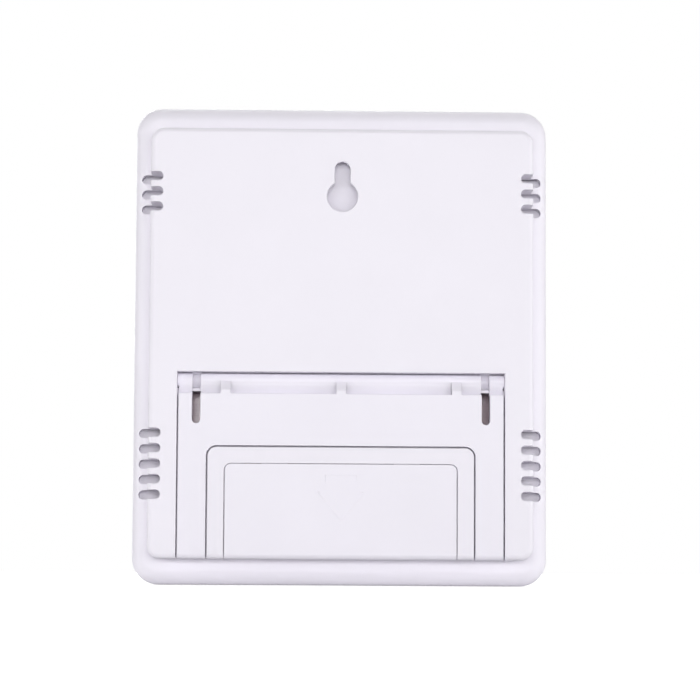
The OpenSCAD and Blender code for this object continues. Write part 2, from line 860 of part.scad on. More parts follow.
// Two sheets of glass; the front one has a bare ledge at the bottom for the contact strip
module lcd_panel() {
    color(glass_grey) {
        toward_back(y_lcd, lens_zc) linear_extrude(lcd_t / 2) square([lcd_w, lcd_h], center = true);
        toward_back(y_lcd + lcd_t / 2, lens_zc + lcd_ledge / 2) linear_extrude(lcd_t / 2)
            square([lcd_w, lcd_h - lcd_ledge], center = true);
    }
}

// Frame that holds the display between the front wall and the board
module lcd_frame() {
    outer = frame_wall + frame_gap;
    color("white") toward_back(y_lcd, lens_zc) linear_extrude(y_board - seat - y_lcd) difference() {
        square([lcd_w + 2 * outer, lcd_h + 2 * outer], center = true);
        square([lcd_w + 2 * frame_gap, lcd_h + 2 * frame_gap], center = true);
    }
}

module zebra_strip() {
    z = lens_zc - lcd_h / 2 + (lcd_ledge - zebra_h) / 2;
    half = lcd_w / 2 - frame_wall;
    color("dimgray") block(-half, half, y_lcd + lcd_t / 2 + seat, y_board - seat, z, z + zebra_h);
}

module main_board() {
    h = board_z1 - board_z0;
    color(board_white) difference() {
        toward_back(y_board, board_z0 + h / 2) linear_extrude(board_t)
            rounded_rect(2 * board_x, h, board_r);
        both_sides() {
            rod_along_y(y_board - over, y_board_rear + over, case_screw_x, case_screw_z,
                boss_r + 2 * hole_clear);
            for (z = board_screw_zs) rod_along_y(y_board - over, y_board_rear + over, board_screw_x, z,
                board_screw_r + hole_clear);
        }
    }
}

// Drop of resin over the bare chip
module controller_chip() {
    ball = (chip_r * chip_r + chip_rise * chip_rise) / (2 * chip_rise);
    color([0.06, 0.06, 0.07]) translate([0, y_board_rear, lens_zc]) rotate([-90, 0, 0])
        rotate_extrude() intersection() {
            translate([0, chip_rise - ball]) circle(ball, $fn = 360);
            square([chip_r, chip_rise]);
        }
}

// Small can that lies on the board, with two wires
module clock_crystal() {
    color(steel) translate([crystal_x, y_board_rear + crystal_r + seat, lens_zc]) {
        cylinder(r = crystal_r, h = crystal_l);
        for (s = [-1, 1]) translate([s * crystal_wire_x, 0, -crystal_wire_l])
            cylinder(r = crystal_wire_r, h = crystal_wire_l + seat);
    }
}

// Thermistor bead on two legs
module temperature_sensor() {
    y_bead = y_board_rear + bead_leg_l;
    color([0.15, 0.15, 0.16]) {
        translate([sensor_x, y_bead, sensor_z]) sphere(bead_r);
        for (s = [-1, 1])
            rod_along_y(y_board_rear, y_bead, sensor_x, sensor_z + s * bead_leg_z, bead_leg_r);
    }
}

// Slotted case of the humidity element, on two legs
module humidity_sensor() {
    w = humidity_w;
    h = humidity_h;
    slot_d = humidity_slot_d;
    slot_half = humidity_slot_h / 2;
    y0 = y_board_rear + humidity_leg_l;
    y1 = y0 + humidity_d;
    color([0.86, 0.86, 0.82]) translate([-sensor_x, 0, sensor_z]) {
        difference() {
            block(-w / 2, w / 2, y0, y1, -h / 2, h / 2);
            for (i = [-1:1]) translate([0, 0, i * humidity_slot_pitch])
                block(-w, slot_d - w / 2, y0 + 2 * slot_d, y1 - 2 * slot_d, -slot_half, slot_half);
        }
        for (s = [-1, 1]) rod_along_y(y_board_rear, y0 + over, 0, s * humidity_leg_z, humidity_leg_r);
    }
}

// Rubber sheet on the board, with a cone under each key
module rubber_keypad() {
    color(rubber_grey) translate([0, 0, key_z]) {
        plate(y_pad, y_pad + pad_t) rounded_rect(pad_w, pad_h, pad_r);
        for (x = key_xs) translate([x, y_pad + over, 0]) rotate([90, 0, 0])
            cylinder(r1 = dome_r, r2 = dome_tip_r, h = y_pad + over - y_dome_tip);
    }
}

// Key cap with the flange that keeps it in and the stem that meets the pad
module key(x) {
    y_root = y_key_flange + over;
    color([0.86, 0.86, 0.88]) translate([x, 0, key_z]) {
        toward_front(y_root)
            soft_block(key_w, key_h, key_h / 2 - seat, y_root - y_front + key_proud, key_edge_r);
        plate(y_key_flange, y_key_flange + key_flange_t)
            rounded_rect(key_w + 2 * key_flange, key_h + 2 * key_flange, key_h / 2);
        rod_along_y(y_key_flange, y_key_end, 0, 0, stem_r);
    }
}

module mode_key() key(key_xs[0]);

module memory_key() key(key_xs[1]);

module adjust_key() key(key_xs[2]);

module board_screws() {
    color(steel) both_sides() for (z = board_screw_zs) translate([board_screw_x, y_board_rear + seat, z])
        pan_screw(board_head_r, board_head_h, board_screw_r, board_screw_l);
}

module case_screws() {
    color(steel) both_sides() translate([case_screw_x, y_screw_seat + seat, case_screw_z])
        pan_screw(screw_head_r, screw_head_h - seat, screw_r, screw_l);
}

// Pan-head screw with a cross slot, whose shank points to -Y from under the head
module pan_screw(head_r, head_h, shank_r, shank_l) {
    blade_t = head_r / 4;
    blade_w = head_r * 1.2;
    rotate([-90, 0, 0]) difference() {
        rotate_extrude() {
            translate([0, -shank_l]) square([shank_r, shank_l + over]);
            edge_section(head_r, head_h, head_h / 2);
        }
        for (a = [0, 90]) rotate(a) translate([-blade_w / 2, -blade_t / 2, head_h / 2])
            cube([blade_w, blade_t, head_h]);
    }
}

// Brass disc with its ceramic layer, on the seat inside the panel
module piezo_buzzer() {
    color(brass) {
        rod_along_y(y_buzzer - buzzer_t - seat, y_buzzer - seat, 0, buzzer_z, buzzer_r);
        rod_along_y(y_buzzer - 2 * buzzer_t - seat, y_buzzer - buzzer_t, 0, buzzer_z, ceramic_r);
    }
}

// Two thin wires from the sounder to the board
module buzzer_leads() {
    x = buzzer_lead_x;
    y0 = y_buzzer - buzzer_t * 2 - 2 * seat;
    y1 = y_board_rear + seat;
    span = y0 - y1;
    z0 = buzzer_z - buzzer_lead_drop;
    z1 = buzzer_z;
    color("gray") both_sides()
        tube([[x, y0, z1], [x, y0 - span / 5, z1], [x, y0 - span / 2, (z0 + z1) / 2],
            [x, y1 + span / 5, z0], [x, y1, z0]], buzzer_lead_r, 8, [1, 0, 0]);
}

// Insulated wire from a contact's tail to the board
module battery_lead(z) {
    x0 = -plate_x - tail_l - seat;
    x1 = x0 - battery_lead_reach;
    run = x1 - x0;
    y0 = y_tail + plate_t / 2;
    y1 = y_board_rear + seat;
    span = y0 - y1;
    tube([[x0, y0, z], [x0 + run / 3, y0, z], [x0 + run * 3 / 4, y0 - span / 3, z],
        [x1, y1 + span / 3, z], [x1, y1, z]], battery_lead_r, 8, [0, 0, 1]);
}

module positive_lead() color("firebrick") battery_lead(lower_cell_z);

module negative_lead() color([0.1, 0.1, 0.1]) battery_lead(upper_cell_z);

// Sheet of a contact at height z, on the -X end of the compartment
module contact_sheet(z0, z1) {
    block(-plate_x, -plate_x + plate_t, y_tail, y_cell + plate_w / 2, z0, z1);
}

// Pressed bump that meets a cell's nub
module contact_bump(z) {
    reach = plate_x - plate_t - (cell_l / 2 + cell_shift) - seat;
    translate([-plate_x + plate_t, y_cell, z]) rotate([0, 90, 0])
        cylinder(r1 = bump_base_r, r2 = bump_tip_r, h = reach);
}

module end_contact(z) {
    contact_sheet(z - plate_w / 2, z + plate_w / 2);
    block(-plate_x - tail_l, -plate_x + plate_t, y_tail, y_tail + plate_t, z - tail_w / 2, z + tail_w / 2);
}

module positive_contact() {
    color(steel) {
        end_contact(lower_cell_z);
        contact_bump(lower_cell_z);
    }
}

module negative_contact() color(steel) end_contact(upper_cell_z);

// Sheet that joins the two cells at the +X end
module bridge_contact() {
    color(steel) mirror([1, 0, 0]) {
        for (z = [lower_cell_z, upper_cell_z]) contact_sheet(z - plate_w / 2, z + plate_w / 2);
        block(-plate_x, -plate_x + plate_t, y_cell, y_cell + plate_w / 2, lower_cell_z, upper_cell_z);
        contact_bump(upper_cell_z);
    }
}

// Path of a cell spring along +X, which narrows towards the cell
function spring_path(x0, x1) = [for (i = [0:spring_turns * spring_steps])
    let (t = i / (spring_turns * spring_steps), r = spring_base_r + (spring_tip_r - spring_base_r) * t)
    [x0 + (x1 - x0) * t, r * cos(360 * spring_turns * t), r * sin(360 * spring_turns * t)]];

// Least gap between two turns of a path
function turn_gap(path) = min([for (i = [0:len(path) - 1], j = [i:len(path) - 1])
    if (j - i > spring_steps / 2) norm(path[i] - path[j])]) - 2 * spring_wire_r;

module contact_springs() {
    path = spring_path(0, spring_x0 - spring_x1);
    echo(cell_spring_gap_mm = turn_gap(path));
    color(steel) {
        translate([-spring_x0, y_cell, upper_cell_z]) tube(path, spring_wire_r, 6, [1, 0, 0]);
        translate([spring_x0, y_cell, lower_cell_z]) rotate([0, 0, 180])
            tube(path, spring_wire_r, 6, [1, 0, 0]);
    }
}

// Cell along X with its button at the -X end
module cell(z) {
    color([0.2, 0.34, 0.55]) translate([-cell_shift - cell_l / 2, y_cell, z]) rotate([0, 90, 0])
        rotate_extrude() {
            square([button_r, button_l]);
            translate([0, button_l]) edge_section(cell_r, cell_l - button_l, over);
        }
}

module lower_cell() cell(lower_cell_z);

module upper_cell() mirror([1, 0, 0]) cell(upper_cell_z);

front_housing();
rear_cover();
stand();
battery_door();
display_lens();
lens_gasket();
lcd_panel();
lcd_frame();
zebra_strip();
main_board();
controller_chip();
clock_crystal();
temperature_sensor();
humidity_sensor();
rubber_keypad();
mode_key();
memory_key();
adjust_key();
board_screws();
case_screws();
piezo_buzzer();
buzzer_leads();
positive_lead();
negative_lead();
positive_contact();
negative_contact();
bridge_contact();
contact_springs();
lower_cell();
upper_cell();
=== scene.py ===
"""Dresses a table and wall meter for temperature and humidity, seen from its back, in a plain studio."""
import logging
import math
from dataclasses import dataclass, field
from enum import Enum
from typing import Callable, Iterable, Sequence

import bmesh
import bpy
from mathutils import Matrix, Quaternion, Vector


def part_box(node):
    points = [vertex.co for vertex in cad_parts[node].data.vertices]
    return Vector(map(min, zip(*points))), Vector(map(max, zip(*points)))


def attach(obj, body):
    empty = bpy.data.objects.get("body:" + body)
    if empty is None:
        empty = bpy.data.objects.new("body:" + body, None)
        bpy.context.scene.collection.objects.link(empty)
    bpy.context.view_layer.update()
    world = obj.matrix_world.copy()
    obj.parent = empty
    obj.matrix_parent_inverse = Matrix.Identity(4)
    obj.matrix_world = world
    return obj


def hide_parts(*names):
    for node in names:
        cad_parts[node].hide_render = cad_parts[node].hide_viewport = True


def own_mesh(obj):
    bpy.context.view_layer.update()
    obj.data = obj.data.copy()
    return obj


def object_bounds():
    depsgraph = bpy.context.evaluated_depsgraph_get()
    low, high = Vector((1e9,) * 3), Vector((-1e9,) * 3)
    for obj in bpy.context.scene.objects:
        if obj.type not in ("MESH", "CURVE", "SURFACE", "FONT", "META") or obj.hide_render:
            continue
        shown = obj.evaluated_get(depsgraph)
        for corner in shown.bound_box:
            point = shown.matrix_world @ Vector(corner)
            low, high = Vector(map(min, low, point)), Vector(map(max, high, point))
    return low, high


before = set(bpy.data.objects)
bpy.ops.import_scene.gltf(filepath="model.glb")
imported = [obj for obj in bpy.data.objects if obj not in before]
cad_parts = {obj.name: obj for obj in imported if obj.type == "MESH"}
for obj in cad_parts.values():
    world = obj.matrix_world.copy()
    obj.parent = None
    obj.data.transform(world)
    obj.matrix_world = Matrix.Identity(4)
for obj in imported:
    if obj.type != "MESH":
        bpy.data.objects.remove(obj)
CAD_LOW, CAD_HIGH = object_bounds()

LOG = logging.getLogger("meter")
MM = 0.001
FULL_TURN = 2 * math.pi
QUARTER_TURN = math.pi / 2

# Edges that bend less than this many degrees are shaded smooth.
SMOOTH_BELOW = 50.0

# Range in which a cloudy pattern mostly lies.
CLOUD_RANGE = (0.3, 0.7)

# Corner radius of a bar with round ends, as a share of its width: just under a half,
# so that every edge has some length.
ROUND_END = 1 / 2.1

Colour = tuple[float, float, float]
Point = tuple[float, float]
Outline = list[Point]
Socket = bpy.types.NodeSocket
Ring = list[bmesh.types.BMVert]


class Body(Enum):
    """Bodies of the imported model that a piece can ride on."""

    CASE = "case"
    STAND = "stand"
    DOOR = "battery_door"
    MODE = "mode_key"
    MEMORY = "memory_key"
    ADJUST = "adjust_key"


class Slot(Enum):
    """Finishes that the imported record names."""

    CASE = "case_white"
    STAND = "stand_white"
    DOOR = "door_white"
    LENS = "lens_clear"
    KEY = "key_grey"
    RUBBER = "keypad_rubber"
    STEEL = "plated_steel"


class Axis(Enum):
    """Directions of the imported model."""

    X = Vector((1, 0, 0))
    Y = Vector((0, 1, 0))
    Z = Vector((0, 0, 1))


class Layers(Enum):
    """How many finer layers a cloudy pattern has."""

    FEW = 2.0
    SOME = 3.0
    MANY = 4.0


@dataclass(frozen=True)
class Extent:
    """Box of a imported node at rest, in metres."""

    low: Vector
    high: Vector

    @classmethod
    def of(cls, node: str) -> "Extent":
        """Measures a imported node."""
        return cls(*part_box(node))

    @property
    def centre(self) -> Vector:
        """Middle of the box."""
        return (self.low + self.high) / 2

    @property
    def size(self) -> Vector:
        """Edge lengths of the box."""
        return self.high - self.low


def shaded(colour: Colour, factor: float) -> Colour:
    """Makes a colour darker or lighter by a factor."""
    return tuple(min(channel * factor, 1.0) for channel in colour)


class NodeBench:
    """A node tree under way."""

    def __init__(self, tree: bpy.types.NodeTree) -> None:
        """Takes the tree that gets the nodes."""
        self.nodes = tree.nodes
        self.links = tree.links

    def add(self, kind: str, fixed: dict[str | int, float | Sequence[float]],
            fed: dict[str | int, Socket]) -> bpy.types.Node:
        """Adds a node and sets it up.

        Args:
            kind: type of the node.
            fixed: value of each input that has a fixed one, by the input's name or number.
            fed: source of each input that another node feeds.

        Returns:
            The node.
        """
        node = self.nodes.new(kind)
        for name, value in fixed.items():
            node.inputs[name].default_value = value
        for name, source in fed.items():
            self.links.new(source, node.inputs[name])
        return node

    def mapped(self, source: Socket, start: Point, end: Point) -> Socket:
        """Maps one range of values to another and clamps the result.

        Args:
            source: value to map.
            start: range that the value has.
            end: range that it gets.

        Returns:
            The mapped value.
        """
        limits = zip(("From Min", "From Max", "To Min", "To Max"), (*start, *end))
        return self.add("ShaderNodeMapRange", dict(limits), {"Value": source}).outputs["Result"]

    def combine(self, first: Socket, second: Socket, operation: str = "ADD") -> Socket:
        """Joins two values by a sum, a product or another operation.

        Args:
            first: one value.
            second: the other value.
            operation: name of the operation.

        Returns:
            The joined value.
        """
        node = self.add("ShaderNodeMath", {}, {0: first, 1: second})
        node.operation = operation
        return node.outputs["Value"]

    def distance(self, place: Socket, centre: Vector) -> Socket:
        """Measures how far a place lies from a point.

        Args:
            place: the place.
            centre: the point.

        Returns:
            The distance, in metres.
        """
        node = self.add("ShaderNodeVectorMath", {1: centre}, {0: place})
        node.operation = "DISTANCE"
        return node.outputs["Value"]

    def seen_directly(self) -> Socket:
        """Tests for rays from the camera, or by way of gloss or glass.

        Returns:
            1 for such a ray and 0 for any other.
        """
        path = self.nodes.new("ShaderNodeLightPath").outputs
        seen = self.combine(path["Is Camera Ray"], path["Is Glossy Ray"], "MAXIMUM")
        return self.combine(seen, path["Is Transmission Ray"], "MAXIMUM")


class ShaderBench(NodeBench):
    """One material under way: a Principled shader and the nodes that feed it."""

    def __init__(self, name: str) -> None:
        """Starts a material with a bare shader.

        Args:
            name: name of the material.
        """
        self.material = bpy.data.materials.new(name)
        self.material.use_nodes = True
        super().__init__(self.material.node_tree)
        self.shader = self.nodes["Principled BSDF"]
        self.place = self.nodes.new("ShaderNodeTexCoord").outputs["Object"]

    def set(self, values: dict[str, float | Colour]) -> None:
        """Sets plain values on the shader's own sockets.

        Args:
            values: value of each socket, by its name; a colour is given as red, green and blue.
        """
        for name, value in values.items():
            if isinstance(value, tuple):
                value = (*value, 1.0)
            self.shader.inputs[name].default_value = value

    def feed(self, name: str, source: Socket) -> None:
        """Links a node's output to one of the shader's sockets."""
        self.links.new(source, self.shader.inputs[name])

    def placed(self, scale: Sequence[float] = (1, 1, 1), turn: Sequence[float] = (0, 0, 0)) -> Socket:
        """Gives the place on the piece, stretched along or turned about each axis."""
        node = self.add("ShaderNodeMapping", {"Scale": scale, "Rotation": turn}, {"Vector": self.place})
        return node.outputs["Vector"]

    def along(self, axis: Axis) -> Socket:
        """Gives the place along one axis, in metres."""
        return self.add("ShaderNodeSeparateXYZ", {}, {"Vector": self.place}).outputs[axis.name]

    def noise(self, size: float, layers: Layers = Layers.FEW, place: Socket | None = None) -> Socket:
        """Adds a cloudy pattern.

        Args:
            size: rough width of a patch, in metres.
            layers: how many finer layers it has.
            place: place that the pattern follows, if it is a changed one.

        Returns:
            The pattern's strength, from 0 to 1.
        """
        fixed = {"Scale": 1 / size, "Detail": layers.value}
        return self.add("ShaderNodeTexNoise", fixed, {"Vector": place or self.place}).outputs["Fac"]

    def varied(self, cloud: Socket, low: float, high: float) -> Socket:
        """Spreads a cloudy pattern between two values."""
        return self.mapped(cloud, CLOUD_RANGE, (low, high))

    def tint(self, source: Socket, *stops: tuple[float, Colour], stepped: bool = False) -> None:
        """Colours the shader by a value.

        Args:
            source: value from 0 to 1.
            stops: place and colour of each stop, in rising order.
            stepped: whether the colour changes at once at each stop.
        """
        node = self.add("ShaderNodeValToRGB", {}, {"Fac": source})
        if stepped:
            node.color_ramp.interpolation = "CONSTANT"
        elements = node.color_ramp.elements
        while len(elements) < len(stops):
            elements.new(1.0)
        for element, (place, colour) in zip(elements, stops):
            element.position = place
            element.color = (*colour, 1.0)
        self.feed("Base Color", node.outputs["Color"])

    def shade(self, source: Socket, colour: Colour, *shades: Point) -> None:
        """Colours the shader by a value; each shade has its place and a factor for the colour."""
        self.tint(source, *((place, shaded(colour, factor)) for place, factor in shades))

    def roughen(self, cloud: Socket, low: float, high: float) -> None:
        """Spreads the shader's roughness between two values by a cloudy pattern."""
        self.feed("Roughness", self.varied(cloud, low, high))

    def relief(self, height: Socket, depth: float) -> None:
        """Gives the surface a fine relief: a pattern from 0 to 1, and its depth in metres."""
        node = self.add("ShaderNodeBump", {"Distance": depth}, {"Height": height})
        self.feed("Normal", node.outputs["Normal"])


@dataclass(frozen=True)
class Finish:
    """One finish, which can make its material."""

    name: str

    def material(self) -> bpy.types.Material:
        """Makes the material.

        Returns:
            The material.
        """
        bench = ShaderBench(self.name)
        self.paint(bench)
        return bench.material

    def paint(self, bench: ShaderBench) -> None:
        """Sets up the shader on the bench; each finish has its own way."""
        raise NotImplementedError


@dataclass(frozen=True)
class MouldedPlastic(Finish):
    """Opaque moulded plastic with a fine spark-eroded texture and faint flow clouds."""

    colour: Colour
    roughness: float = 0.5
    spread: float = 0.05
    specular: float = 0.4
    cloud: float = 0.012
    cloud_size: float = 22 * MM
    grain_share: float = 0.2
    grain_size: float = 0.16 * MM
    grain_depth: float = 0.006 * MM

    def paint(self, bench: ShaderBench) -> None:
        """Sets up the plastic.

        Args:
            bench: its material under way.
        """
        bench.set({"Specular IOR Level": self.specular})
        grain = bench.noise(self.grain_size, Layers.SOME)
        cloud = bench.varied(bench.noise(self.cloud_size, Layers.SOME), 0.0, 1 - self.grain_share)
        tone = bench.combine(cloud, bench.varied(grain, 0.0, self.grain_share))
        bench.shade(tone, self.colour, (0.0, 1 - self.cloud), (1.0, 1 + self.cloud))
        bench.roughen(grain, self.roughness - self.spread, self.roughness + self.spread)
        bench.relief(grain, self.grain_depth)


@dataclass(frozen=True)
class ClearLens(Finish):
    """Polished clear sheet with a trace of fine scratches."""

    colour: Colour
    refraction: float = 1.49
    scratch_size: float = 1.4 * MM
    scratch_range: Point = (0.35, 0.75)
    roughness: Point = (0.015, 0.05)

    def paint(self, bench: ShaderBench) -> None:
        """Sets up the clear sheet.

        Args:
            bench: its material under way.
        """
        bench.set({"Base Color": self.colour, "Transmission Weight": 1.0, "IOR": self.refraction})
        scratches = bench.noise(self.scratch_size, Layers.MANY)
        bench.feed("Roughness", bench.mapped(scratches, self.scratch_range, self.roughness))


@dataclass(frozen=True)
class DisplayGlass(Finish):
    """Reflective display: a grey-green ground under polished glass, with painted light that makes it a
    little lighter towards its top.
    """

    colour: Colour
    low: float
    high: float
    shades: tuple[Point, ...] = ((0.0, 0.93), (1.0, 1.07))
    coat: float = 0.6
    coat_roughness: float = 0.05
    weave_size: float = 0.25 * MM
    weave_share: float = 0.15
    roughness: Point = (0.28, 0.38)

    def paint(self, bench: ShaderBench) -> None:
        """Sets up the display's ground.

        Args:
            bench: its material under way.
        """
        bench.set({"Coat Weight": self.coat, "Coat Roughness": self.coat_roughness})
        # Painted light: the ground's tone rises from its bottom to its top, as if lit from above.
        rise = bench.mapped(bench.along(Axis.Z), (self.low, self.high), (0.0, 1 - self.weave_share))
        weave = bench.noise(self.weave_size)
        tone = bench.combine(rise, bench.varied(weave, 0.0, self.weave_share))
        bench.shade(tone, self.colour, *self.shades)
        bench.roughen(weave, *self.roughness)


@dataclass(frozen=True)
class PrintedInk(Finish):
    """Thin layer of dark ink or of switched liquid crystal, a little uneven."""

    colour: Colour
    shades: tuple[Point, ...] = ((0.3, 0.85), (0.7, 1.2))
    patch_size: float = 2 * MM
    roughness: Point = (0.4, 0.5)

    def paint(self, bench: ShaderBench) -> None:
        """Sets up the ink.

        Args:
            bench: its material under way.
        """
        patch = bench.noise(self.patch_size, Layers.SOME)
        bench.shade(patch, self.colour, *self.shades)
        bench.roughen(patch, *self.roughness)


@dataclass(frozen=True)
class PlatedMetal(Finish):
    """Rolled and plated sheet or wire, with fine drawing lines along one axis."""

    colour: Colour
    shades: tuple[Point, ...] = ((0.25, 0.88), (0.75, 1.0))
    roughness: float = 0.28
    spread: float = 0.08
    grain: Axis = Axis.X
    stretch: float = 0.04
    line_size: float = 0.25 * MM
    line_depth: float = 0.004 * MM

    def paint(self, bench: ShaderBench) -> None:
        """Sets up the metal.

        Args:
            bench: its material under way.
        """
        bench.set({"Metallic": 1.0})
        drawn = bench.placed(scale=[1.0 - part * (1 - self.stretch) for part in self.grain.value])
        lines = bench.noise(self.line_size, Layers.MANY, drawn)
        bench.shade(lines, self.colour, *self.shades)
        bench.roughen(lines, self.roughness - self.spread, self.roughness + self.spread)
        bench.relief(lines, self.line_depth)


@dataclass(frozen=True)
class SoftRubber(Finish):
    """Silicone rubber, foam or the sheath of a wire: dull, with a fine skin."""

    colour: Colour
    shades: tuple[Point, ...] = ((0.25, 0.86), (0.75, 1.12))
    roughness: float = 0.6
    spread: float = 0.08
    sheen: float = 0.08
    specular: float = 0.35
    skin_size: float = 0.3 * MM
    skin_depth: float = 0.01 * MM

    def paint(self, bench: ShaderBench) -> None:
        """Sets up the rubber.

        Args:
            bench: its material under way.
        """
        bench.set({"Sheen Weight": self.sheen, "Specular IOR Level": self.specular})
        skin = bench.noise(self.skin_size, Layers.SOME)
        bench.shade(skin, self.colour, *self.shades)
        bench.roughen(skin, self.roughness - self.spread, self.roughness + self.spread)
        bench.relief(skin, self.skin_depth)


@dataclass(frozen=True)
class CastResin(Finish):
    """Drop of cured resin with a rippled gloss."""

    colour: Colour
    shades: tuple[Point, ...] = ((0.3, 1.0), (0.8, 1.6))
    ripple_size: float = 2.5 * MM
    ripple_height: float = 0.05 * MM
    roughness: Point = (0.16, 0.3)

    def paint(self, bench: ShaderBench) -> None:
        """Sets up the resin.

        Args:
            bench: its material under way.
        """
        ripple = bench.noise(self.ripple_size)
        bench.shade(ripple, self.colour, *self.shades)
        bench.roughen(ripple, *self.roughness)
        bench.relief(ripple, self.ripple_height)


@dataclass(frozen=True)
class SolderResist(Finish):
    """Pale lacquer over copper tracks on a board; the tracks' length and gap are counted in pitches."""

    colour: Colour
    track_colour: Colour
    coat: float = 0.4
    coat_roughness: float = 0.15
    track_pitch: float = 1.3 * MM
    track_length: float = 9.0
    track_gap: float = 0.028
    track_height: float = 0.03 * MM
    weave_size: float = 0.4 * MM
    weave_share: float = 0.25
    roughness: Point = (0.3, 0.42)

    def paint(self, bench: ShaderBench) -> None:
        """Sets up the board's surface.

        Args:
            bench: its material under way.
        """
        bench.set({"Coat Weight": self.coat, "Coat Roughness": self.coat_roughness})
        sizes = {"Scale": 1 / self.track_pitch, "Mortar Size": self.track_gap,
                 "Brick Width": self.track_length, "Row Height": 1.0}
        upright = bench.placed(turn=(QUARTER_TURN, 0, 0))
        tracks = bench.add("ShaderNodeTexBrick", sizes, {"Vector": upright}).outputs["Fac"]
        weave = bench.noise(self.weave_size)
        lines = bench.mapped(tracks, (0.0, 1.0), (0.0, 1 - self.weave_share))
        tone = bench.combine(lines, bench.varied(weave, 0.0, self.weave_share))
        bench.tint(tone, (0.0, self.colour), (1.0, self.track_colour))
        bench.roughen(weave, *self.roughness)
        bench.relief(tone, self.track_height)


@dataclass(frozen=True)
class CellJacket(Finish):
    """Dry cell along X: bare ends, a plain jacket and a metallic band at the button's end."""

    button_x: float
    plain_x: float
    jacket: Colour = (0.035, 0.085, 0.23)
    band: Colour = (0.62, 0.45, 0.22)
    bare: Colour = (0.66, 0.66, 0.67)
    band_start: float = 0.035
    band_end: float = 0.3
    band_shade: float = 0.5
    jacket_end: float = 0.975
    jacket_shade: float = 0.9
    seam: float = 0.005
    coat: float = 0.3
    coat_roughness: float = 0.1
    scuff_size: float = 1.2 * MM
    scuff_depth: float = 0.006 * MM
    scuff_range: Point = (0.2, 0.8)
    metal: Point = (0.55, 0.75)
    roughness: Point = (0.22, 0.36)

    def paint(self, bench: ShaderBench) -> None:
        """Sets up the cell's surface.

        Args:
            bench: its material under way.
        """
        bench.set({"Coat Weight": self.coat, "Coat Roughness": self.coat_roughness})
        run = bench.mapped(bench.along(Axis.X), (self.button_x, self.plain_x), (0.0, 1.0))
        stops = (
            (0.0, self.bare),
            (self.band_start, self.band),
            (self.band_end, shaded(self.band, self.band_shade)),
            (self.band_end + self.seam, self.jacket),
            (self.jacket_end, shaded(self.jacket, self.jacket_shade)),
            (self.jacket_end + self.seam, self.bare),
        )
        bench.tint(run, *stops, stepped=True)
        scuff = bench.noise(self.scuff_size, Layers.MANY)
        bench.feed("Metallic", bench.mapped(scuff, self.scuff_range, self.metal))
        bench.roughen(scuff, *self.roughness)
        bench.relief(scuff, self.scuff_depth)


@dataclass(frozen=True)
class SounderDisc(Finish):
    """Brass sheet with a round silvered ceramic layer at its middle."""

    centre: Vector
    ceramic_radius: float
    ceramic: Colour = (0.80, 0.79, 0.76)
    ceramic_shade: float = 0.9
    brass: Colour = (0.78, 0.62, 0.30)
    brass_shade: float = 0.85
    change: Point = (0.25, 0.75)
    edge: float = 0.05 * MM
    stain_size: float = 1.5 * MM
    stain_depth: float = 0.004 * MM
    stain_share: float = 0.2
    metal: Point = (0.15, 1.0)
    roughness: Point = (0.25, 0.4)

    def paint(self, bench: ShaderBench) -> None:
        """Sets up the sounder's surface.

        Args:
            bench: its material under way.
        """
        rim = self.ceramic_radius + self.edge
        bounds = (0.0, 1 - self.stain_share)
        ring = bench.mapped(bench.distance(bench.place, self.centre), (rim, rim + self.edge), bounds)
        stain = bench.noise(self.stain_size, Layers.MANY)
        tone = bench.combine(ring, bench.varied(stain, 0.0, self.stain_share))
        bench.tint(tone, (0.0, shaded(self.ceramic, self.ceramic_shade)), (self.change[0], self.ceramic),
                   (self.change[1], shaded(self.brass, self.brass_shade)), (1.0, self.brass))
        bench.feed("Metallic", bench.mapped(ring, bounds, self.metal))
        bench.roughen(stain, *self.roughness)
        bench.relief(stain, self.stain_depth)


WHITE_CASE = MouldedPlastic("case_plastic", (0.872, 0.846, 0.915))
WHITE_STAND = MouldedPlastic("stand_plastic", (0.872, 0.846, 0.920))
WHITE_DOOR = MouldedPlastic("door_plastic", (0.862, 0.836, 0.908), roughness=0.46)
NATURAL_PLASTIC = MouldedPlastic("inner_plastic", (0.82, 0.82, 0.80), roughness=0.55)
KEY_PLASTIC = MouldedPlastic("key_plastic", (0.66, 0.66, 0.70), roughness=0.42)
LENS = ClearLens("clear_lens", (0.96, 0.98, 0.98))
INK = PrintedInk("sign_ink", (0.09, 0.09, 0.10))
CRYSTAL = PrintedInk("switched_crystal", (0.022, 0.028, 0.028))
NICKEL = PlatedMetal("nickel_plate", (0.72, 0.72, 0.74))
SPRING_WIRE = PlatedMetal("spring_wire", (0.74, 0.74, 0.75), roughness=0.22)
SILICONE = SoftRubber("silicone", (0.45, 0.45, 0.47))
FOAM = SoftRubber("adhesive_foam", (0.03, 0.03, 0.03), roughness=0.75, skin_size=0.5 * MM,
                  skin_depth=0.04 * MM)
GREY_SHEATH = SoftRubber("grey_sheath", (0.45, 0.45, 0.45), roughness=0.45)
RED_SHEATH = SoftRubber("red_sheath", (0.55, 0.05, 0.04), roughness=0.45)
BLACK_SHEATH = SoftRubber("black_sheath", (0.02, 0.02, 0.02), roughness=0.45)
RESIN = CastResin("chip_resin", (0.02, 0.02, 0.022))
BOARD = SolderResist("board_resist", (0.96, 0.72, 0.84), (0.87, 0.63, 0.75))


def dress_nodes(finish: Finish, *nodes: str) -> None:
    """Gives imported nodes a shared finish.

    Args:
        finish: finish of all the nodes.
        nodes: names of the nodes.
    """
    material = finish.material()
    for node in nodes:
        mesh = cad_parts[node].data
        mesh.materials.clear()
        mesh.materials.append(material)
        LOG.info("%s: %s", node, material.name)


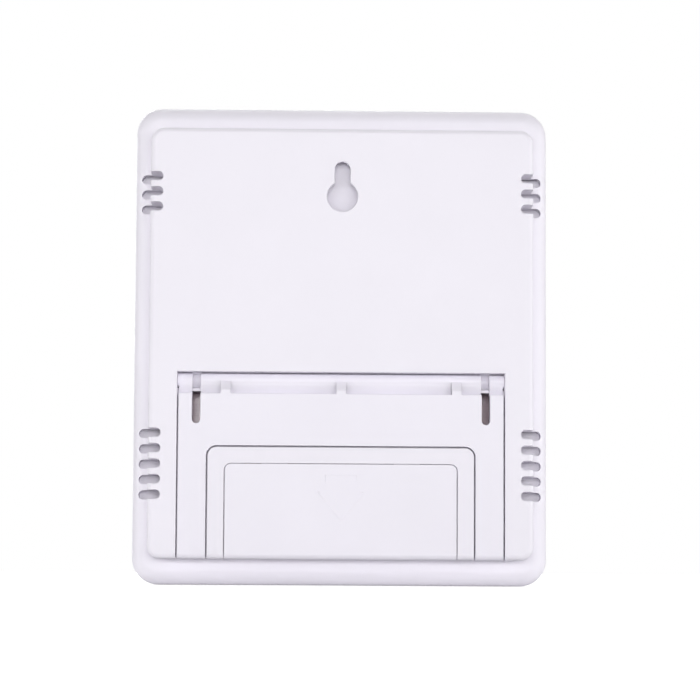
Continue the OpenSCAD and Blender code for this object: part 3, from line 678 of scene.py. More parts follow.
def hang(piece: bpy.types.Object, finish: Finish, body: Body,
         replaced: Sequence[str] = ()) -> None:
    """Gives a piece its finish and hangs it on its body.

    Args:
        piece: the piece, in its place.
        finish: finish that it has all over.
        body: body that it moves with.
        replaced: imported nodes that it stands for.
    """
    piece.data.materials.append(finish.material())
    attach(piece, body.value)
    if replaced:
        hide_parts(*replaced)
    LOG.info("%s rides on %s", piece.name, body.value)


def disc(centre: Point, radius: float, steps: int = 32) -> Outline:
    """Draws a circle.

    Args:
        centre: middle of the circle.
        radius: its radius.
        steps: number of corners.

    Returns:
        The outline.
    """
    turns = [FULL_TURN * k / steps for k in range(steps)]
    return [(centre[0] + radius * math.cos(t), centre[1] + radius * math.sin(t)) for t in turns]


def rounded_box(centre: Point, width: float, height: float, radius: float, steps: int = 8) -> Outline:
    """Draws a rectangle with round corners in X and Z.

    Args:
        centre: middle of the rectangle.
        width: size along X.
        height: size along Z.
        radius: radius of the corners.
        steps: parts of each quarter circle.

    Returns:
        The outline.
    """
    outline = []
    for quarter, (sx, sz) in enumerate(((1, 1), (-1, 1), (-1, -1), (1, -1))):
        x = centre[0] + sx * (width / 2 - radius)
        z = centre[1] + sz * (height / 2 - radius)
        for k in range(steps + 1):
            turn = (quarter + k / steps) * QUARTER_TURN
            outline.append((x + radius * math.cos(turn), z + radius * math.sin(turn)))
    return outline


class Draft:
    """Mesh of one piece while it is drawn."""

    def __init__(self) -> None:
        """Starts an empty mesh."""
        self.mesh = bmesh.new()

    def corners(self, points: Iterable[Sequence[float]]) -> Ring:
        """Adds the corners of one ring."""
        return [self.mesh.verts.new(point) for point in points]

    def level(self, outline: Outline, y: float) -> Ring:
        """Adds the corners of an outline in X and Z that lies in a plane along Y."""
        return self.corners((x, y, z) for x, z in outline)

    def skin(self, rings: Sequence[Ring]) -> None:
        """Joins each ring to the next one by a band of faces.

        Args:
            rings: rings with as many corners each.
        """
        for ring, after in zip(rings, rings[1:]):
            for i, corner in enumerate(ring):
                j = (i + 1) % len(ring)
                self.mesh.faces.new((corner, ring[j], after[j], after[i]))

    def solid(self, rings: Sequence[Ring]) -> list[bmesh.types.BMFace]:
        """Joins rings to a closed form with flat ends.

        Args:
            rings: rings with as many corners each, from end to end.

        Returns:
            The first and the last flat face.
        """
        self.skin(rings)
        return [self.mesh.faces.new(ring) for ring in (rings[0], rings[-1])]

    def prism(self, outline: Outline, near: float, far: float) -> list[bmesh.types.BMFace]:
        """Adds a plate with a drawn outline in X and Z.

        Args:
            outline: corners of the outline, in order.
            near: lower plane along Y.
            far: upper plane along Y.

        Returns:
            The two flat faces, the lower one first.
        """
        return self.solid([self.level(outline, y) for y in (near, far)])

    def beam(self, section: Outline, left: float, right: float) -> None:
        """Adds a bar along X with a drawn section in Y and Z.

        Args:
            section: corners of the section, in order.
            left: X at which the bar starts.
            right: X at which it ends.
        """
        self.solid([self.corners((x, y, z) for y, z in section) for x in (left, right)])

    def ring(self, outer: Outline, inner: Outline, near: float, far: float) -> None:
        """Adds a plate between two outlines with as many corners each.

        Args:
            outer: outer outline in X and Z.
            inner: inner outline in X and Z.
            near: lower plane along Y.
            far: upper plane along Y.
        """
        loops = ((outer, near), (outer, far), (inner, far), (inner, near))
        rings = [self.level(outline, y) for outline, y in loops]
        self.skin(rings + rings[:1])

    def revolve(self, profile: Sequence[Point], centre: Vector, steps: int) -> None:
        """Adds a closed round form about a line along Y.

        Args:
            profile: radius and Y of each ring, from end to end; the ends are closed by flat discs.
            centre: point on the line, of which X and Z count.
            steps: corners of each ring.
        """
        middle = (centre.x, centre.z)
        self.solid([self.level(disc(middle, radius, steps), y) for radius, y in profile])

    def sweep(self, path: Sequence[Vector], radius: float, sides: int, beside: Vector) -> None:
        """Adds a round wire along a path.

        Args:
            path: points that the wire's middle follows.
            radius: radius of the wire.
            sides: corners of its section.
            beside: direction that the path never takes.
        """
        rings = []
        for i, point in enumerate(path):
            way = path[min(i + 1, len(path) - 1)] - path[max(i - 1, 0)]
            across = way.cross(beside).normalized()
            upward = way.cross(across).normalized()
            section = disc((0.0, 0.0), radius, sides)
            rings.append(self.corners(point + a * across + b * upward for a, b in section))
        self.solid(rings)

    def soften(self, edges: Iterable[bmesh.types.BMEdge], radius: float, segments: int = 2) -> None:
        """Rounds some edges.

        Args:
            edges: the edges.
            radius: how far the rounding reaches from each edge.
            segments: faces across the rounding.
        """
        bmesh.ops.bevel(self.mesh, geom=list(edges), offset=radius, offset_type="OFFSET", segments=segments,
                        profile=0.5, affect="EDGES", clamp_overlap=False, material=-1, loop_slide=True)

    def finish(self, name: str, smooth_below: float = SMOOTH_BELOW) -> bpy.types.Object:
        """Turns the draft into an object.

        Args:
            name: name of the piece.
            smooth_below: edges that bend less than this many degrees are shaded smooth.

        Returns:
            The object, in the scene.
        """
        bmesh.ops.recalc_face_normals(self.mesh, faces=self.mesh.faces)
        for face in self.mesh.faces:
            face.smooth = True
        for edge in self.mesh.edges:
            edge.smooth = edge.is_manifold and edge.calc_face_angle() < math.radians(smooth_below)
        data = bpy.data.meshes.new(name)
        self.mesh.to_mesh(data)
        self.mesh.free()
        packed_normals = data.attributes.get("custom_normal")
        if packed_normals:
            data.attributes.remove(packed_normals)
        piece = bpy.data.objects.new(name, data)
        bpy.context.scene.collection.objects.link(piece)
        even = piece.modifiers.new("even_normals", "WEIGHTED_NORMAL")
        even.keep_sharp = True
        return piece


class ThinLayer(Draft):
    """Flat signs in one thin layer along Y."""

    def __init__(self, near: float, far: float) -> None:
        """Starts a layer between two planes along Y."""
        super().__init__()
        self.planes = (near, far)

    def plate(self, outline: Outline) -> None:
        """Adds a filled outline."""
        self.prism(outline, *self.planes)

    def hoop(self, centre: Point, radius: float, line: float) -> None:
        """Adds a circle drawn as a line of even width."""
        self.ring(disc(centre, radius), disc(centre, radius - line), *self.planes)

    def bar(self, centre: Point, width: float, height: float) -> None:
        """Adds a bar with round ends."""
        self.plate(rounded_box(centre, width, height, min(width, height) * ROUND_END))


@dataclass(frozen=True)
class EdgeBreak:
    """How the sharp outer edges of a moulding are broken."""

    radius: float
    planes: dict[float, float] = field(default_factory=dict)
    least_angle: float = 40.0
    weld: float = 0.002 * MM
    flat_angle: float = 0.5
    plane_reach: float = 0.01 * MM

    def picks(self, edge: bmesh.types.BMEdge) -> bool:
        """Tells whether an edge is sharp, points outwards and lies in one of the planes along Y.

        Args:
            edge: edge of the moulding.

        Returns:
            Whether the edge is broken; each plane gives how far from the middle its edges still count.
        """
        if len(edge.link_faces) != 2 or edge.calc_face_angle_signed() < math.radians(self.least_angle):
            return False
        ends = [vertex.co for vertex in edge.verts]
        return not self.planes or any(
            all(abs(end.y - plane) < self.plane_reach and abs(end.x) < width for end in ends)
            for plane, width in self.planes.items())

    def copied(self, node: str) -> Draft:
        """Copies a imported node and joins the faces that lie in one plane.

        Args:
            node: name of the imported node.

        Returns:
            The copy.
        """
        draft = Draft()
        draft.mesh.from_mesh(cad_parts[node].data)
        bmesh.ops.remove_doubles(draft.mesh, verts=draft.mesh.verts, dist=self.weld)
        bmesh.ops.dissolve_limit(draft.mesh, angle_limit=math.radians(self.flat_angle),
                                 verts=draft.mesh.verts, edges=draft.mesh.edges)
        return draft

    def broken(self, draft: Draft, name: str, smooth_below: float) -> bpy.types.Object:
        """Breaks the edges of a copy.

        Args:
            draft: the copy.
            name: name of the new piece.
            smooth_below: edges that bend less than this many degrees are shaded smooth.

        Returns:
            The new piece.
        """
        draft.soften([edge for edge in draft.mesh.edges if self.picks(edge)], self.radius)
        return draft.finish(name, smooth_below)

    def moulded(self, node: str, name: str) -> bpy.types.Object:
        """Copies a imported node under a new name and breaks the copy's edges."""
        return self.broken(self.copied(node), name, SMOOTH_BELOW)


@dataclass
class CaseShells:
    """Rear cover and front housing, moulded in white plastic."""

    edge: float = 0.15 * MM
    vent_start: float = 40.5 * MM
    reach: float = 0.01 * MM

    def build(self) -> None:
        """Makes both shells with broken edges and dresses them; the vents at the sides stay crisp."""
        face = Extent.of("rear_cover").high.y
        front = Extent.of("front_housing").low.y
        planes = {
            "rear_cover": {face: self.vent_start, self.rim_of("rear_cover"): math.inf},
            "front_housing": {front: math.inf, self.rim_of("front_housing"): math.inf},
        }
        for node, edges in planes.items():
            shell = EdgeBreak(self.edge, edges).moulded(node, f"{node}_shell")
            hang(shell, WHITE_CASE, Body.CASE, [node])
        dress_nodes(NICKEL, "case_screws")

    def rim_of(self, node: str) -> float:
        """Finds the plane along Y of a shell's rim at the parting line.

        Args:
            node: name of the shell's node.

        Returns:
            The plane's Y.
        """
        outer = CAD_HIGH.x - self.reach
        rims = [vertex.co.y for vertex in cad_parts[node].data.vertices if vertex.co.x > outer]
        return min(rims) if node == "rear_cover" else max(rims)


@dataclass
class FoldingStand:
    """U-shaped stand in the rear panel."""

    edge: float = 0.15 * MM
    plate: float = 3.0 * MM
    smooth_below: float = 24.0
    bar_top: float = 43.3 * MM
    web_depth: float = 2.1 * MM
    web_knee: float = 1.7 * MM
    web_fall: float = 0.75 * MM
    reach: float = 0.1 * MM
    rib_pitch: float = 26.2 * MM
    rib_width: float = 2.2 * MM
    rib_head: float = 0.8 * MM
    rib_step: float = 0.25 * MM
    rib_rise: float = 2.95 * MM
    rib_drop: float = 1.5 * MM

    def build(self) -> None:
        """Makes the stand and the ribs beside its barrel, and dresses them."""
        face = Extent.of("stand").high.y
        self.build_frame(face)
        self.build_ribs(face)

    def build_frame(self, face: float) -> None:
        """Makes the stand with broken edges.

        Args:
            face: plane along Y of the stand's outer face.
        """
        breaking = EdgeBreak(self.edge, {face: math.inf, face - self.plate: math.inf})
        draft = breaking.copied("stand")
        self.tilt_web(draft, face - self.web_depth)
        stand = breaking.broken(draft, "stand_frame", self.smooth_below)
        hang(stand, WHITE_STAND, Body.STAND, ["stand"])

    def tilt_web(self, draft: Draft, web: float) -> None:
        """Lets the web between the barrel and the bar fall away towards the bar.

        Args:
            draft: copy of the stand.
            web: plane along Y of the web.
        """
        everything = [*draft.mesh.verts, *draft.mesh.edges, *draft.mesh.faces]
        bmesh.ops.bisect_plane(draft.mesh, geom=everything, plane_co=(0, 0, self.bar_top + self.web_knee),
                               plane_no=Axis.Z.value)
        for vertex in draft.mesh.verts:
            if abs(vertex.co.z - self.bar_top) < self.reach and abs(vertex.co.y - web) < self.reach:
                vertex.co.y -= self.web_fall

    def build_ribs(self, face: float) -> None:
        """Makes the three ribs that run from the bar's face down to the barrel.

        Args:
            face: plane along Y of the stand's outer face.
        """
        root = face - self.web_depth
        foot = self.bar_top - self.edge
        head = self.bar_top + self.rib_head
        crown = self.bar_top + self.rib_rise
        section = [(root, foot), (face, foot), (face, head), (face - self.rib_step, head),
                   (face - self.rib_drop, crown), (root, crown)]
        draft = Draft()
        for place in (-self.rib_pitch, 0.0, self.rib_pitch):
            draft.beam(section, place - self.rib_width / 2, place + self.rib_width / 2)
        ribs = draft.finish("hinge_ribs")
        hang(ribs, WHITE_STAND, Body.STAND)


@dataclass
class BatteryBay:
    """Sliding door with its arrow, and the cells with their contacts."""

    edge: float = 0.12 * MM
    arrow_height: float = 0.1 * MM
    arrow_edge: float = 0.08 * MM
    arrow_segments: int = 3
    arrow_smooth_below: float = 20.0
    arrow_top: float = 24.9 * MM
    shaft_width: float = 7.0 * MM
    shaft_length: float = 3.8 * MM
    head_width: float = 10.5 * MM
    head_length: float = 6.4 * MM
    wire: float = 0.3 * MM
    turns: int = 3
    steps: int = 24
    sides: int = 12
    base_radius: float = 3.4 * MM
    tip_radius: float = 2.0 * MM

    def build(self) -> None:
        """Makes the door, its arrow and the springs, and dresses the whole bay."""
        self.build_door()
        self.build_arrow()
        self.build_springs()
        dress_nodes(NICKEL, "positive_contact", "negative_contact", "bridge_contact")
        dress_nodes(RED_SHEATH, "positive_lead")
        dress_nodes(BLACK_SHEATH, "negative_lead")
        self.dress_cells()

    def build_door(self) -> None:
        """Makes the door with broken edges."""
        face = Extent.of("battery_door").high.y
        door = EdgeBreak(self.edge, {face: math.inf}).moulded("battery_door", "battery_door_cover")
        hang(door, WHITE_DOOR, Body.DOOR, ["battery_door"])

    def build_arrow(self) -> None:
        """Makes the raised arrow that shows which way the door slides."""
        face = Extent.of("battery_door").high.y
        neck = self.arrow_top - self.shaft_length
        side = self.shaft_width / 2
        half = [(side, self.arrow_top), (side, neck), (self.head_width / 2, neck)]
        outline = half + [(0.0, neck - self.head_length)] + [(-x, z) for x, z in reversed(half)]
        draft = Draft()
        top = draft.prism(outline, face - self.arrow_height, face + self.arrow_height)[1]
        draft.soften(top.edges, self.arrow_edge, self.arrow_segments)
        arrow = draft.finish("door_arrow", self.arrow_smooth_below)
        hang(arrow, WHITE_DOOR, Body.DOOR)

    def build_springs(self) -> None:
        """Winds the two cell springs, each narrowing towards its cell."""
        coils = Extent.of("contact_springs")
        upper = Extent.of("upper_cell")
        lower = Extent.of("lower_cell")
        draft = Draft()
        for cell, start, way in ((upper, coils.low.x, 1), (lower, coils.high.x, -1)):
            end = cell.low.x if way > 0 else cell.high.x
            first = Vector((start + way * self.wire, cell.centre.y, cell.centre.z))
            length = (end - way * self.wire) - first.x
            draft.sweep(self.spring_path(first, length, way), self.wire, self.sides, Axis.X.value)
        springs = draft.finish("cell_springs")
        hang(springs, SPRING_WIRE, Body.CASE, ["contact_springs"])

    def spring_path(self, first: Vector, length: float, way: int) -> list[Vector]:
        """Works out the middle line of one spring.

        Args:
            first: middle of the spring's wide end.
            length: signed length along X.
            way: 1 for a spring that runs towards +X, -1 for the other.

        Returns:
            The points of the line.
        """
        count = self.turns * self.steps
        points = []
        for i in range(count + 1):
            t = i / count
            radius = self.base_radius + (self.tip_radius - self.base_radius) * t
            turn = FULL_TURN * self.turns * t
            y = way * radius * math.cos(turn)
            z = radius * math.sin(turn)
            points.append(first + Vector((length * t, y, z)))
        return points

    def dress_cells(self) -> None:
        """Dresses the two cells, which lie head to tail."""
        for node, button_first in (("lower_cell", True), ("upper_cell", False)):
            cell = Extent.of(node)
            ends = (cell.low.x, cell.high.x) if button_first else (cell.high.x, cell.low.x)
            dress_nodes(CellJacket(f"{node}_jacket", *ends), node)


class Segment(Enum):
    """One bar of a seven-bar digit: its two ends on a grid that is one wide and two high."""

    TOP = ((0, 2), (1, 2))
    UPPER_LEFT = ((0, 1), (0, 2))
    UPPER_RIGHT = ((1, 1), (1, 2))
    MIDDLE = ((0, 1), (1, 1))
    LOWER_LEFT = ((0, 0), (0, 1))
    LOWER_RIGHT = ((1, 0), (1, 1))
    BOTTOM = ((0, 0), (1, 0))


UNLIT: dict[str, set[Segment]] = {
    "2": {Segment.UPPER_LEFT, Segment.LOWER_RIGHT},
    "3": {Segment.UPPER_LEFT, Segment.LOWER_LEFT},
    "4": {Segment.TOP, Segment.LOWER_LEFT, Segment.BOTTOM},
    "5": {Segment.UPPER_RIGHT, Segment.LOWER_LEFT},
    "6": {Segment.UPPER_RIGHT},
    "C": {Segment.UPPER_RIGHT, Segment.MIDDLE, Segment.LOWER_RIGHT},
}


@dataclass
class Display:
    """Lens, gasket and display, with the digits that the display shows."""

    edge: float = 0.2 * MM
    ground: Colour = (0.47, 0.52, 0.46)
    layer: float = 0.03 * MM
    margin: float = 5 * MM
    line: float = 0.5 * MM
    temperature: str = "24.6"
    temperature_height: float = 20 * MM
    unit_share: float = 0.25
    humidity: str = "53"
    humidity_height: float = 15 * MM
    digit_shape: float = 0.5
    pitch: float = 1.42
    bar_share: float = 0.256
    bar_gap: float = 0.025
    dot_share: float = 0.55
    lean: float = math.tan(math.radians(6))
    stem_share: float = 0.28
    bulb_share: float = 0.36
    drop_radius: float = 0.42
    drop_low: float = 0.3
    drop_tip: float = 0.75
    drop_shoulder: float = math.radians(35)
    drop_steps: int = 24
    percent_radius: float = 0.2
    percent_stroke: float = 1.3

    def build(self) -> None:
        """Makes the lens and the digits, and dresses the display."""
        lens = EdgeBreak(self.edge).moulded("display_lens", "display_window")
        hang(lens, LENS, Body.CASE, ["display_lens"])
        glass = Extent.of("lcd_panel")
        dress_nodes(DisplayGlass("display_ground", self.ground, glass.low.z, glass.high.z), "lcd_panel")
        dress_nodes(FOAM, "lens_gasket")
        dress_nodes(NATURAL_PLASTIC, "lcd_frame")
        dress_nodes(SILICONE, "zebra_strip")
        self.build_digits(glass)

    def build_digits(self, glass: Extent) -> None:
        """Draws everything that the display shows as one thin layer on the glass.

        Args:
            glass: box of the display.
        """
        ink = ThinLayer(glass.low.y - self.layer, glass.low.y)
        left = glass.low.x + self.margin
        right = glass.high.x - self.margin
        lower = glass.low.z + self.margin
        top = glass.high.z - self.margin
        upper = top - self.temperature_height
        icon = self.humidity_height / 2
        self.thermometer(ink, (left + icon / 2, upper + self.temperature_height / 2), icon)
        self.drop(ink, (left + icon / 2, lower + self.humidity_height / 2), icon)
        x = self.number(ink, self.temperature, (left + 2 * icon, upper), self.temperature_height)
        unit = self.temperature_height * self.unit_share
        degree = unit / 3
        ink.hoop((x + degree, top - degree), degree, self.line)
        self.number(ink, "C", (x + unit, top - unit), unit)
        middle = (upper + lower + self.humidity_height) / 2
        ink.bar(((left + right) / 2, middle), right - left, self.line)
        x = self.number(ink, self.humidity, (left + 2 * icon, lower), self.humidity_height)
        self.percent(ink, (x + unit / 2, lower), self.humidity_height / 2)
        digits = ink.finish("display_digits")
        hang(digits, CRYSTAL, Body.CASE)

    def number(self, ink: ThinLayer, text: str, corner: Point, height: float) -> float:
        """Draws a row of seven-bar digits.

        Args:
            ink: layer that takes the digits.
            text: digits, with a point where the number has one.
            corner: lower left corner of the row.
            height: height of a digit.

        Returns:
            The X at which the row ends.
        """
        width = height * self.digit_shape
        thick = width * self.bar_share
        x = corner[0]
        for letter in text:
            if letter == ".":
                dot = (x - width * (self.pitch - 1) / 2, corner[1] + thick / 2)
                ink.plate(disc(dot, thick * self.dot_share))
                continue
            for segment in Segment:
                if segment not in UNLIT[letter]:
                    ink.plate(self.bar(segment, (x, corner[1]), width, height, thick))
            x += width * self.pitch
        return x

    def bar(self, segment: Segment, corner: Point, width: float, height: float, thick: float) -> Outline:
        """Draws one bar of a digit, with pointed ends, leaning to the right.

        Args:
            segment: which bar.
            corner: lower left corner of the digit.
            width: width of the digit.
            height: height of the digit.
            thick: thickness of the bar.

        Returns:
            The bar's outline.
        """
        grid = (width - thick, (height - thick) / 2)
        a, b = (Vector((x * grid[0] + thick / 2, z * grid[1] + thick / 2)) for x, z in segment.value)
        along = (b - a).normalized()
        across = Vector((-along.y, along.x)) * thick / 2
        tip = along * height * self.bar_gap
        shoulder = tip + along * thick / 2
        corners = (a + tip, a + shoulder - across, b - shoulder - across, b - tip, b - shoulder + across,
                   a + shoulder + across)
        return [(corner[0] + p.x + p.y * self.lean, corner[1] + p.y) for p in corners]

    def thermometer(self, ink: ThinLayer, centre: Point, size: float) -> None:
        """Draws a plain thermometer: a bulb and a stem.

        Args:
            ink: layer that takes the sign.
            centre: middle of the sign.
            size: its width; it is twice as high.
        """
        stem = size * self.stem_share
        bulb = size * self.bulb_share
        foot = centre[1] - size + bulb
        rise = 2 * (size - bulb)
        ink.plate(disc((centre[0], foot), bulb))
        ink.bar((centre[0], foot + bulb + self.line + rise / 2), stem, rise)

    def drop(self, ink: ThinLayer, centre: Point, size: float) -> None:
        """Draws a plain drop of water.

        Args:
            ink: layer that takes the sign.
            centre: middle of the sign.
            size: its width.
        """
        radius = size * self.drop_radius
        low = centre[1] - size * self.drop_low
        tip = centre[1] + size * self.drop_tip
        start = math.pi - self.drop_shoulder
        sweep = math.pi + 2 * self.drop_shoulder
        arc = [start + sweep * k / self.drop_steps for k in range(self.drop_steps + 1)]
        belly = [(centre[0] + radius * math.cos(t), low + radius * math.sin(t)) for t in arc]
        ink.plate(belly + [(centre[0], tip)])

    def percent(self, ink: ThinLayer, corner: Point, height: float) -> None:
        """Draws a percent sign.

        Args:
            ink: layer that takes the sign.
            corner: lower left corner of the sign.
            height: its height.
        """
        x, z = corner
        radius = height * self.percent_radius
        for centre in ((x + radius, z + height - radius), (x + height - radius, z + radius)):
            ink.hoop(centre, radius, self.line)
        reach = self.line * self.percent_stroke
        ink.plate([(x + reach, z), (x + 2 * reach, z), (x + height - reach, z + height),
                   (x + height - 2 * reach, z + height)])


class KeySign(Enum):
    """Plain sign printed above each key."""

    RING = Body.MODE
    BARS = Body.MEMORY
    TRIANGLE = Body.ADJUST


@dataclass
class KeyRow:
    """Three keys, the rubber pad under them and the signs above them."""

    edge: float = 0.1 * MM
    sign_size: float = 2.6 * MM
    sign_line: float = 0.5 * MM
    sign_rise: float = 3.2 * MM
    triangle_foot: float = 0.8
    ink: float = 0.02 * MM
    sheet: float = 0.8 * MM
    sheet_corner: float = 2 * MM
    sheet_edge: float = 0.2 * MM
    dome_radius: float = 3.2 * MM
    tip_radius: float = 2.0 * MM
    skirt_share: float = 0.86
    skirt_steps: int = 4
    crown_tuck: float = 0.1
    crown_steps: int = 3
    squeeze: float = 0.58
    steps: int = 40

    def build(self) -> None:
        """Makes the keys, the pad and the signs."""
        for sign in KeySign:
            self.build_key(sign.value)
        self.build_pad()
        self.build_signs()

    def build_key(self, body: Body) -> None:
        """Makes one key cap with broken edges.

        Args:
            body: the key's body, whose name is also its node's.
        """
        cap = EdgeBreak(self.edge).moulded(body.value, f"{body.value}_cap")
        hang(cap, KEY_PLASTIC, body, [body.value])

    def build_pad(self) -> None:
        """Makes the rubber sheet and a dome under each key."""
        pad = Extent.of("rubber_keypad")
        near = pad.high.y - self.sheet
        outline = rounded_box((pad.centre.x, pad.centre.z), pad.size.x, pad.size.z, self.sheet_corner)
        draft = Draft()
        faces = draft.prism(outline, near, pad.high.y)
        draft.soften({edge for face in faces for edge in face.edges}, self.sheet_edge)
        sheet = draft.finish("keypad_sheet")
        hang(sheet, SILICONE, Body.CASE, ["rubber_keypad"])
        for sign in KeySign:
            self.build_dome(sign.value, near, pad.low.y)

    def build_dome(self, body: Body, root: float, tip: float) -> None:
        """Makes one rubber dome.

        Args:
            body: body of the key above the dome.
            root: plane along Y where the dome leaves the sheet.
            tip: plane along Y of its flat top.
        """
        skirt = (tip - root) * self.skirt_share
        crown = (tip - root) - skirt
        narrowing = self.tip_radius - self.dome_radius
        rises = [k / self.skirt_steps for k in range(self.skirt_steps + 1)]
        profile = [(self.dome_radius + narrowing * t, root + skirt * t) for t in rises]
        for k in range(1, self.crown_steps + 1):
            turn = QUARTER_TURN * k / self.crown_steps
            radius = self.tip_radius * (1 - self.crown_tuck * (1 - math.cos(turn)))
            profile.append((radius, root + skirt + crown * math.sin(turn)))
        centre = Extent.of(body.value).centre
        draft = Draft()
        draft.revolve(profile, centre, self.steps)
        dome = draft.finish(f"{body.value}_dome")
        hang(dome, SILICONE, Body.CASE, ["rubber_keypad"])
        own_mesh(dome)

    def build_signs(self) -> None:
        """Prints a plain sign above each key."""
        face = Extent.of("front_housing").low.y
        ink = ThinLayer(face - self.ink, face + self.ink)
        for sign in KeySign:
            key = Extent.of(sign.value.value)
            self.draw(sign, ink, (key.centre.x, key.high.z + self.sign_rise))
        signs = ink.finish("key_signs")
        hang(signs, INK, Body.CASE)

    def draw(self, sign: KeySign, ink: ThinLayer, centre: Point) -> None:
        """Draws one sign.

        Args:
            sign: which sign.
            ink: layer that takes it.
            centre: its middle in X and Z.
        """
        x, z = centre
        half = self.sign_size / 2
        foot = z - half * self.triangle_foot
        if sign is KeySign.RING:
            ink.hoop(centre, half, self.sign_line)
        elif sign is KeySign.BARS:
            for rise in (-half / 2, half / 2):
                ink.bar((x, z + rise), self.sign_size, self.sign_line)
        else:
            ink.plate([(x - half, foot), (x + half, foot), (x, z + half)])


@dataclass
class Electronics:
    """Circuit board with what it carries, and the sounder."""

    ceramic_radius: float = 5 * MM

    def build(self) -> None:
        """Dresses the board, its parts and the sounder."""
        dress_nodes(BOARD, "main_board")
        dress_nodes(RESIN, "controller_chip", "temperature_sensor")
        dress_nodes(NATURAL_PLASTIC, "humidity_sensor")
        dress_nodes(NICKEL, "clock_crystal", "board_screws")
        dress_nodes(GREY_SHEATH, "buzzer_leads")
        sounder = SounderDisc("sounder_disc", Extent.of("piezo_buzzer").centre, self.ceramic_radius)
        dress_nodes(sounder, "piezo_buzzer")


@dataclass(frozen=True)
class Lamp:
    """One soft box, which faces the middle of the meter."""

    name: str
    place: tuple[float, float, float]
    width: float
    height: float
    power: float

    def build(self, target: Vector) -> None:
        """Makes the lamp.

        Args:
            target: point that the lamp faces.
        """
        light = bpy.data.lights.new(self.name, "AREA")
        light.shape = "RECTANGLE"
        light.size = self.width
        light.size_y = self.height
        light.energy = self.power
        lamp = bpy.data.objects.new(self.name, light)
        lamp.location = self.place
        lamp.rotation_mode = "QUATERNION"
        lamp.rotation_quaternion = (target - Vector(self.place)).to_track_quat("-Z", "Y")
        bpy.context.scene.collection.objects.link(lamp)
        LOG.info("lamp %s", self.name)


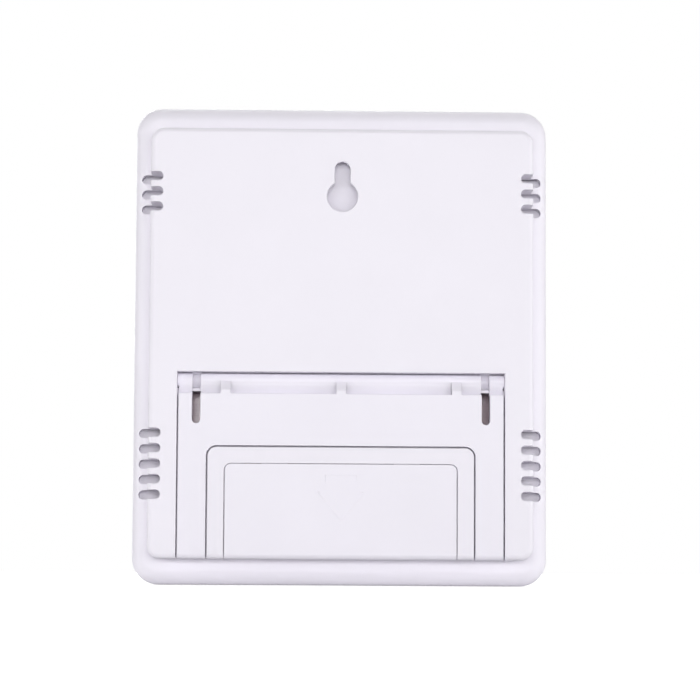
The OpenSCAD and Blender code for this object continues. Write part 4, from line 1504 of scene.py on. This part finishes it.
@dataclass
class Studio:
    """Floor, backdrop, soft boxes and camera."""

    floor_radius: float = 1.2
    floor_steps: int = 96
    floor_depth: float = 2 * MM
    floor_gap: float = 0.05 * MM
    floor_colour: Colour = (0.9, 0.9, 0.9)
    floor_lift: Point = (0.6, 1.0)
    floor_fade: Point = (0.10, 0.45)
    ambient: Colour = (0.03, 0.03, 0.03)
    white: Colour = (1.0, 1.0, 1.0)
    lens: float = 132.787
    sensor: float = 36.0
    nearest: float = 10 * MM
    camera_place: Vector = field(default_factory=lambda: Vector((12.780, 596.451, 4.129)) * MM)
    camera_aim: Vector = field(default_factory=lambda: Vector((-1.916, 12.65, 53.310)) * MM)
    camera_roll: float = math.radians(0.322)
    lamps: tuple[Lamp, ...] = (
        Lamp("key_strip", (0.0, 1.10, 0.135), 1.5, 0.25, 6.25),
        Lamp("key_core", (0.0, 1.10, 0.105), 0.3, 0.19, 1.8),
        Lamp("right_box", (-1.0, 0.22, 0.15), 0.5, 0.28, 3.85),
        Lamp("left_box", (1.0, 0.22, 0.15), 0.5, 0.28, 2.6),
        Lamp("top_box", (0.0, 0.15, 1.1), 0.8, 0.8, 0.5),
        Lamp("rear_top_box", (0.0, -0.45, 1.0), 0.7, 0.5, 3.5),
        Lamp("front_box", (0.25, -1.05, 0.40), 0.7, 0.7, 8.0),
    )

    def build(self) -> None:
        """Sets up the whole studio."""
        bpy.context.scene.view_settings.view_transform = "Standard"
        self.build_floor()
        self.build_world()
        middle = (CAD_LOW + CAD_HIGH) / 2
        for lamp in self.lamps:
            lamp.build(middle)
        self.build_camera()

    def build_floor(self) -> None:
        """Makes a plain pale floor that looks white and keeps the shadow."""
        outline = disc((0.0, 0.0), self.floor_radius, self.floor_steps)
        heights = (-self.floor_gap - self.floor_depth, -self.floor_gap)
        draft = Draft()
        draft.solid([draft.corners((x, y, z) for x, y in outline) for z in heights])
        floor = draft.finish("studio_floor")
        floor.data.materials.append(self.floor_material())
        LOG.info("floor")

    def floor_material(self) -> bpy.types.Material:
        """Makes the floor matt, with a white of its own that grows outwards so that no horizon shows.

        Returns:
            The material.
        """
        bench = ShaderBench("studio_floor")
        away = bench.distance(bench.place, Vector())
        white = bench.mapped(away, self.floor_fade, self.floor_lift)
        strength = bench.combine(bench.seen_directly(), white, "MULTIPLY")
        glow = bench.add("ShaderNodeEmission", {}, {"Strength": strength})
        matt = bench.add("ShaderNodeBsdfDiffuse", {"Color": (*self.floor_colour, 1.0)}, {})
        total = bench.add("ShaderNodeAddShader", {}, {0: matt.outputs["BSDF"], 1: glow.outputs["Emission"]})
        bench.links.new(total.outputs["Shader"], bench.nodes["Material Output"].inputs["Surface"])
        bench.nodes.remove(bench.shader)
        return bench.material

    def build_world(self) -> None:
        """Makes an even surround that looks white and lights the meter softly."""
        world = bpy.data.worlds.new("studio")
        bpy.context.scene.world = world
        world.use_nodes = True
        world.node_tree.nodes.clear()
        bench = NodeBench(world.node_tree)
        choice = bench.add("ShaderNodeMixShader", {}, {"Fac": bench.seen_directly()})
        for place, colour in ((1, self.ambient), (2, self.white)):
            surround = bench.add("ShaderNodeBackground", {"Color": (*colour, 1.0)}, {})
            bench.links.new(surround.outputs["Background"], choice.inputs[place])
        bench.add("ShaderNodeOutputWorld", {}, {"Surface": choice.outputs["Shader"]})
        LOG.info("surround")

    def build_camera(self) -> None:
        """Makes the camera, which stands low behind the meter and looks slightly up."""
        data = bpy.data.cameras.new("camera")
        data.lens = self.lens
        data.sensor_width = self.sensor
        data.clip_start = self.nearest
        camera = bpy.data.objects.new("camera", data)
        camera.location = self.camera_place
        camera.rotation_mode = "QUATERNION"
        level = (self.camera_aim - self.camera_place).to_track_quat("-Z", "Y")
        camera.rotation_quaternion = level @ Quaternion(Axis.Z.value, self.camera_roll)
        bpy.context.scene.collection.objects.link(camera)
        bpy.context.scene.camera = camera
        LOG.info("camera")


def main() -> None:
    """Builds the studio and then every part of the meter."""
    logging.basicConfig(level=logging.INFO, format="%(name)s: %(message)s")
    assemblies: list[Callable[[], None]] = [
        Studio().build,
        CaseShells().build,
        FoldingStand().build,
        BatteryBay().build,
        Display().build,
        KeyRow().build,
        Electronics().build,
    ]
    for build in assemblies:
        build()


if __name__ == "__main__":
    main()
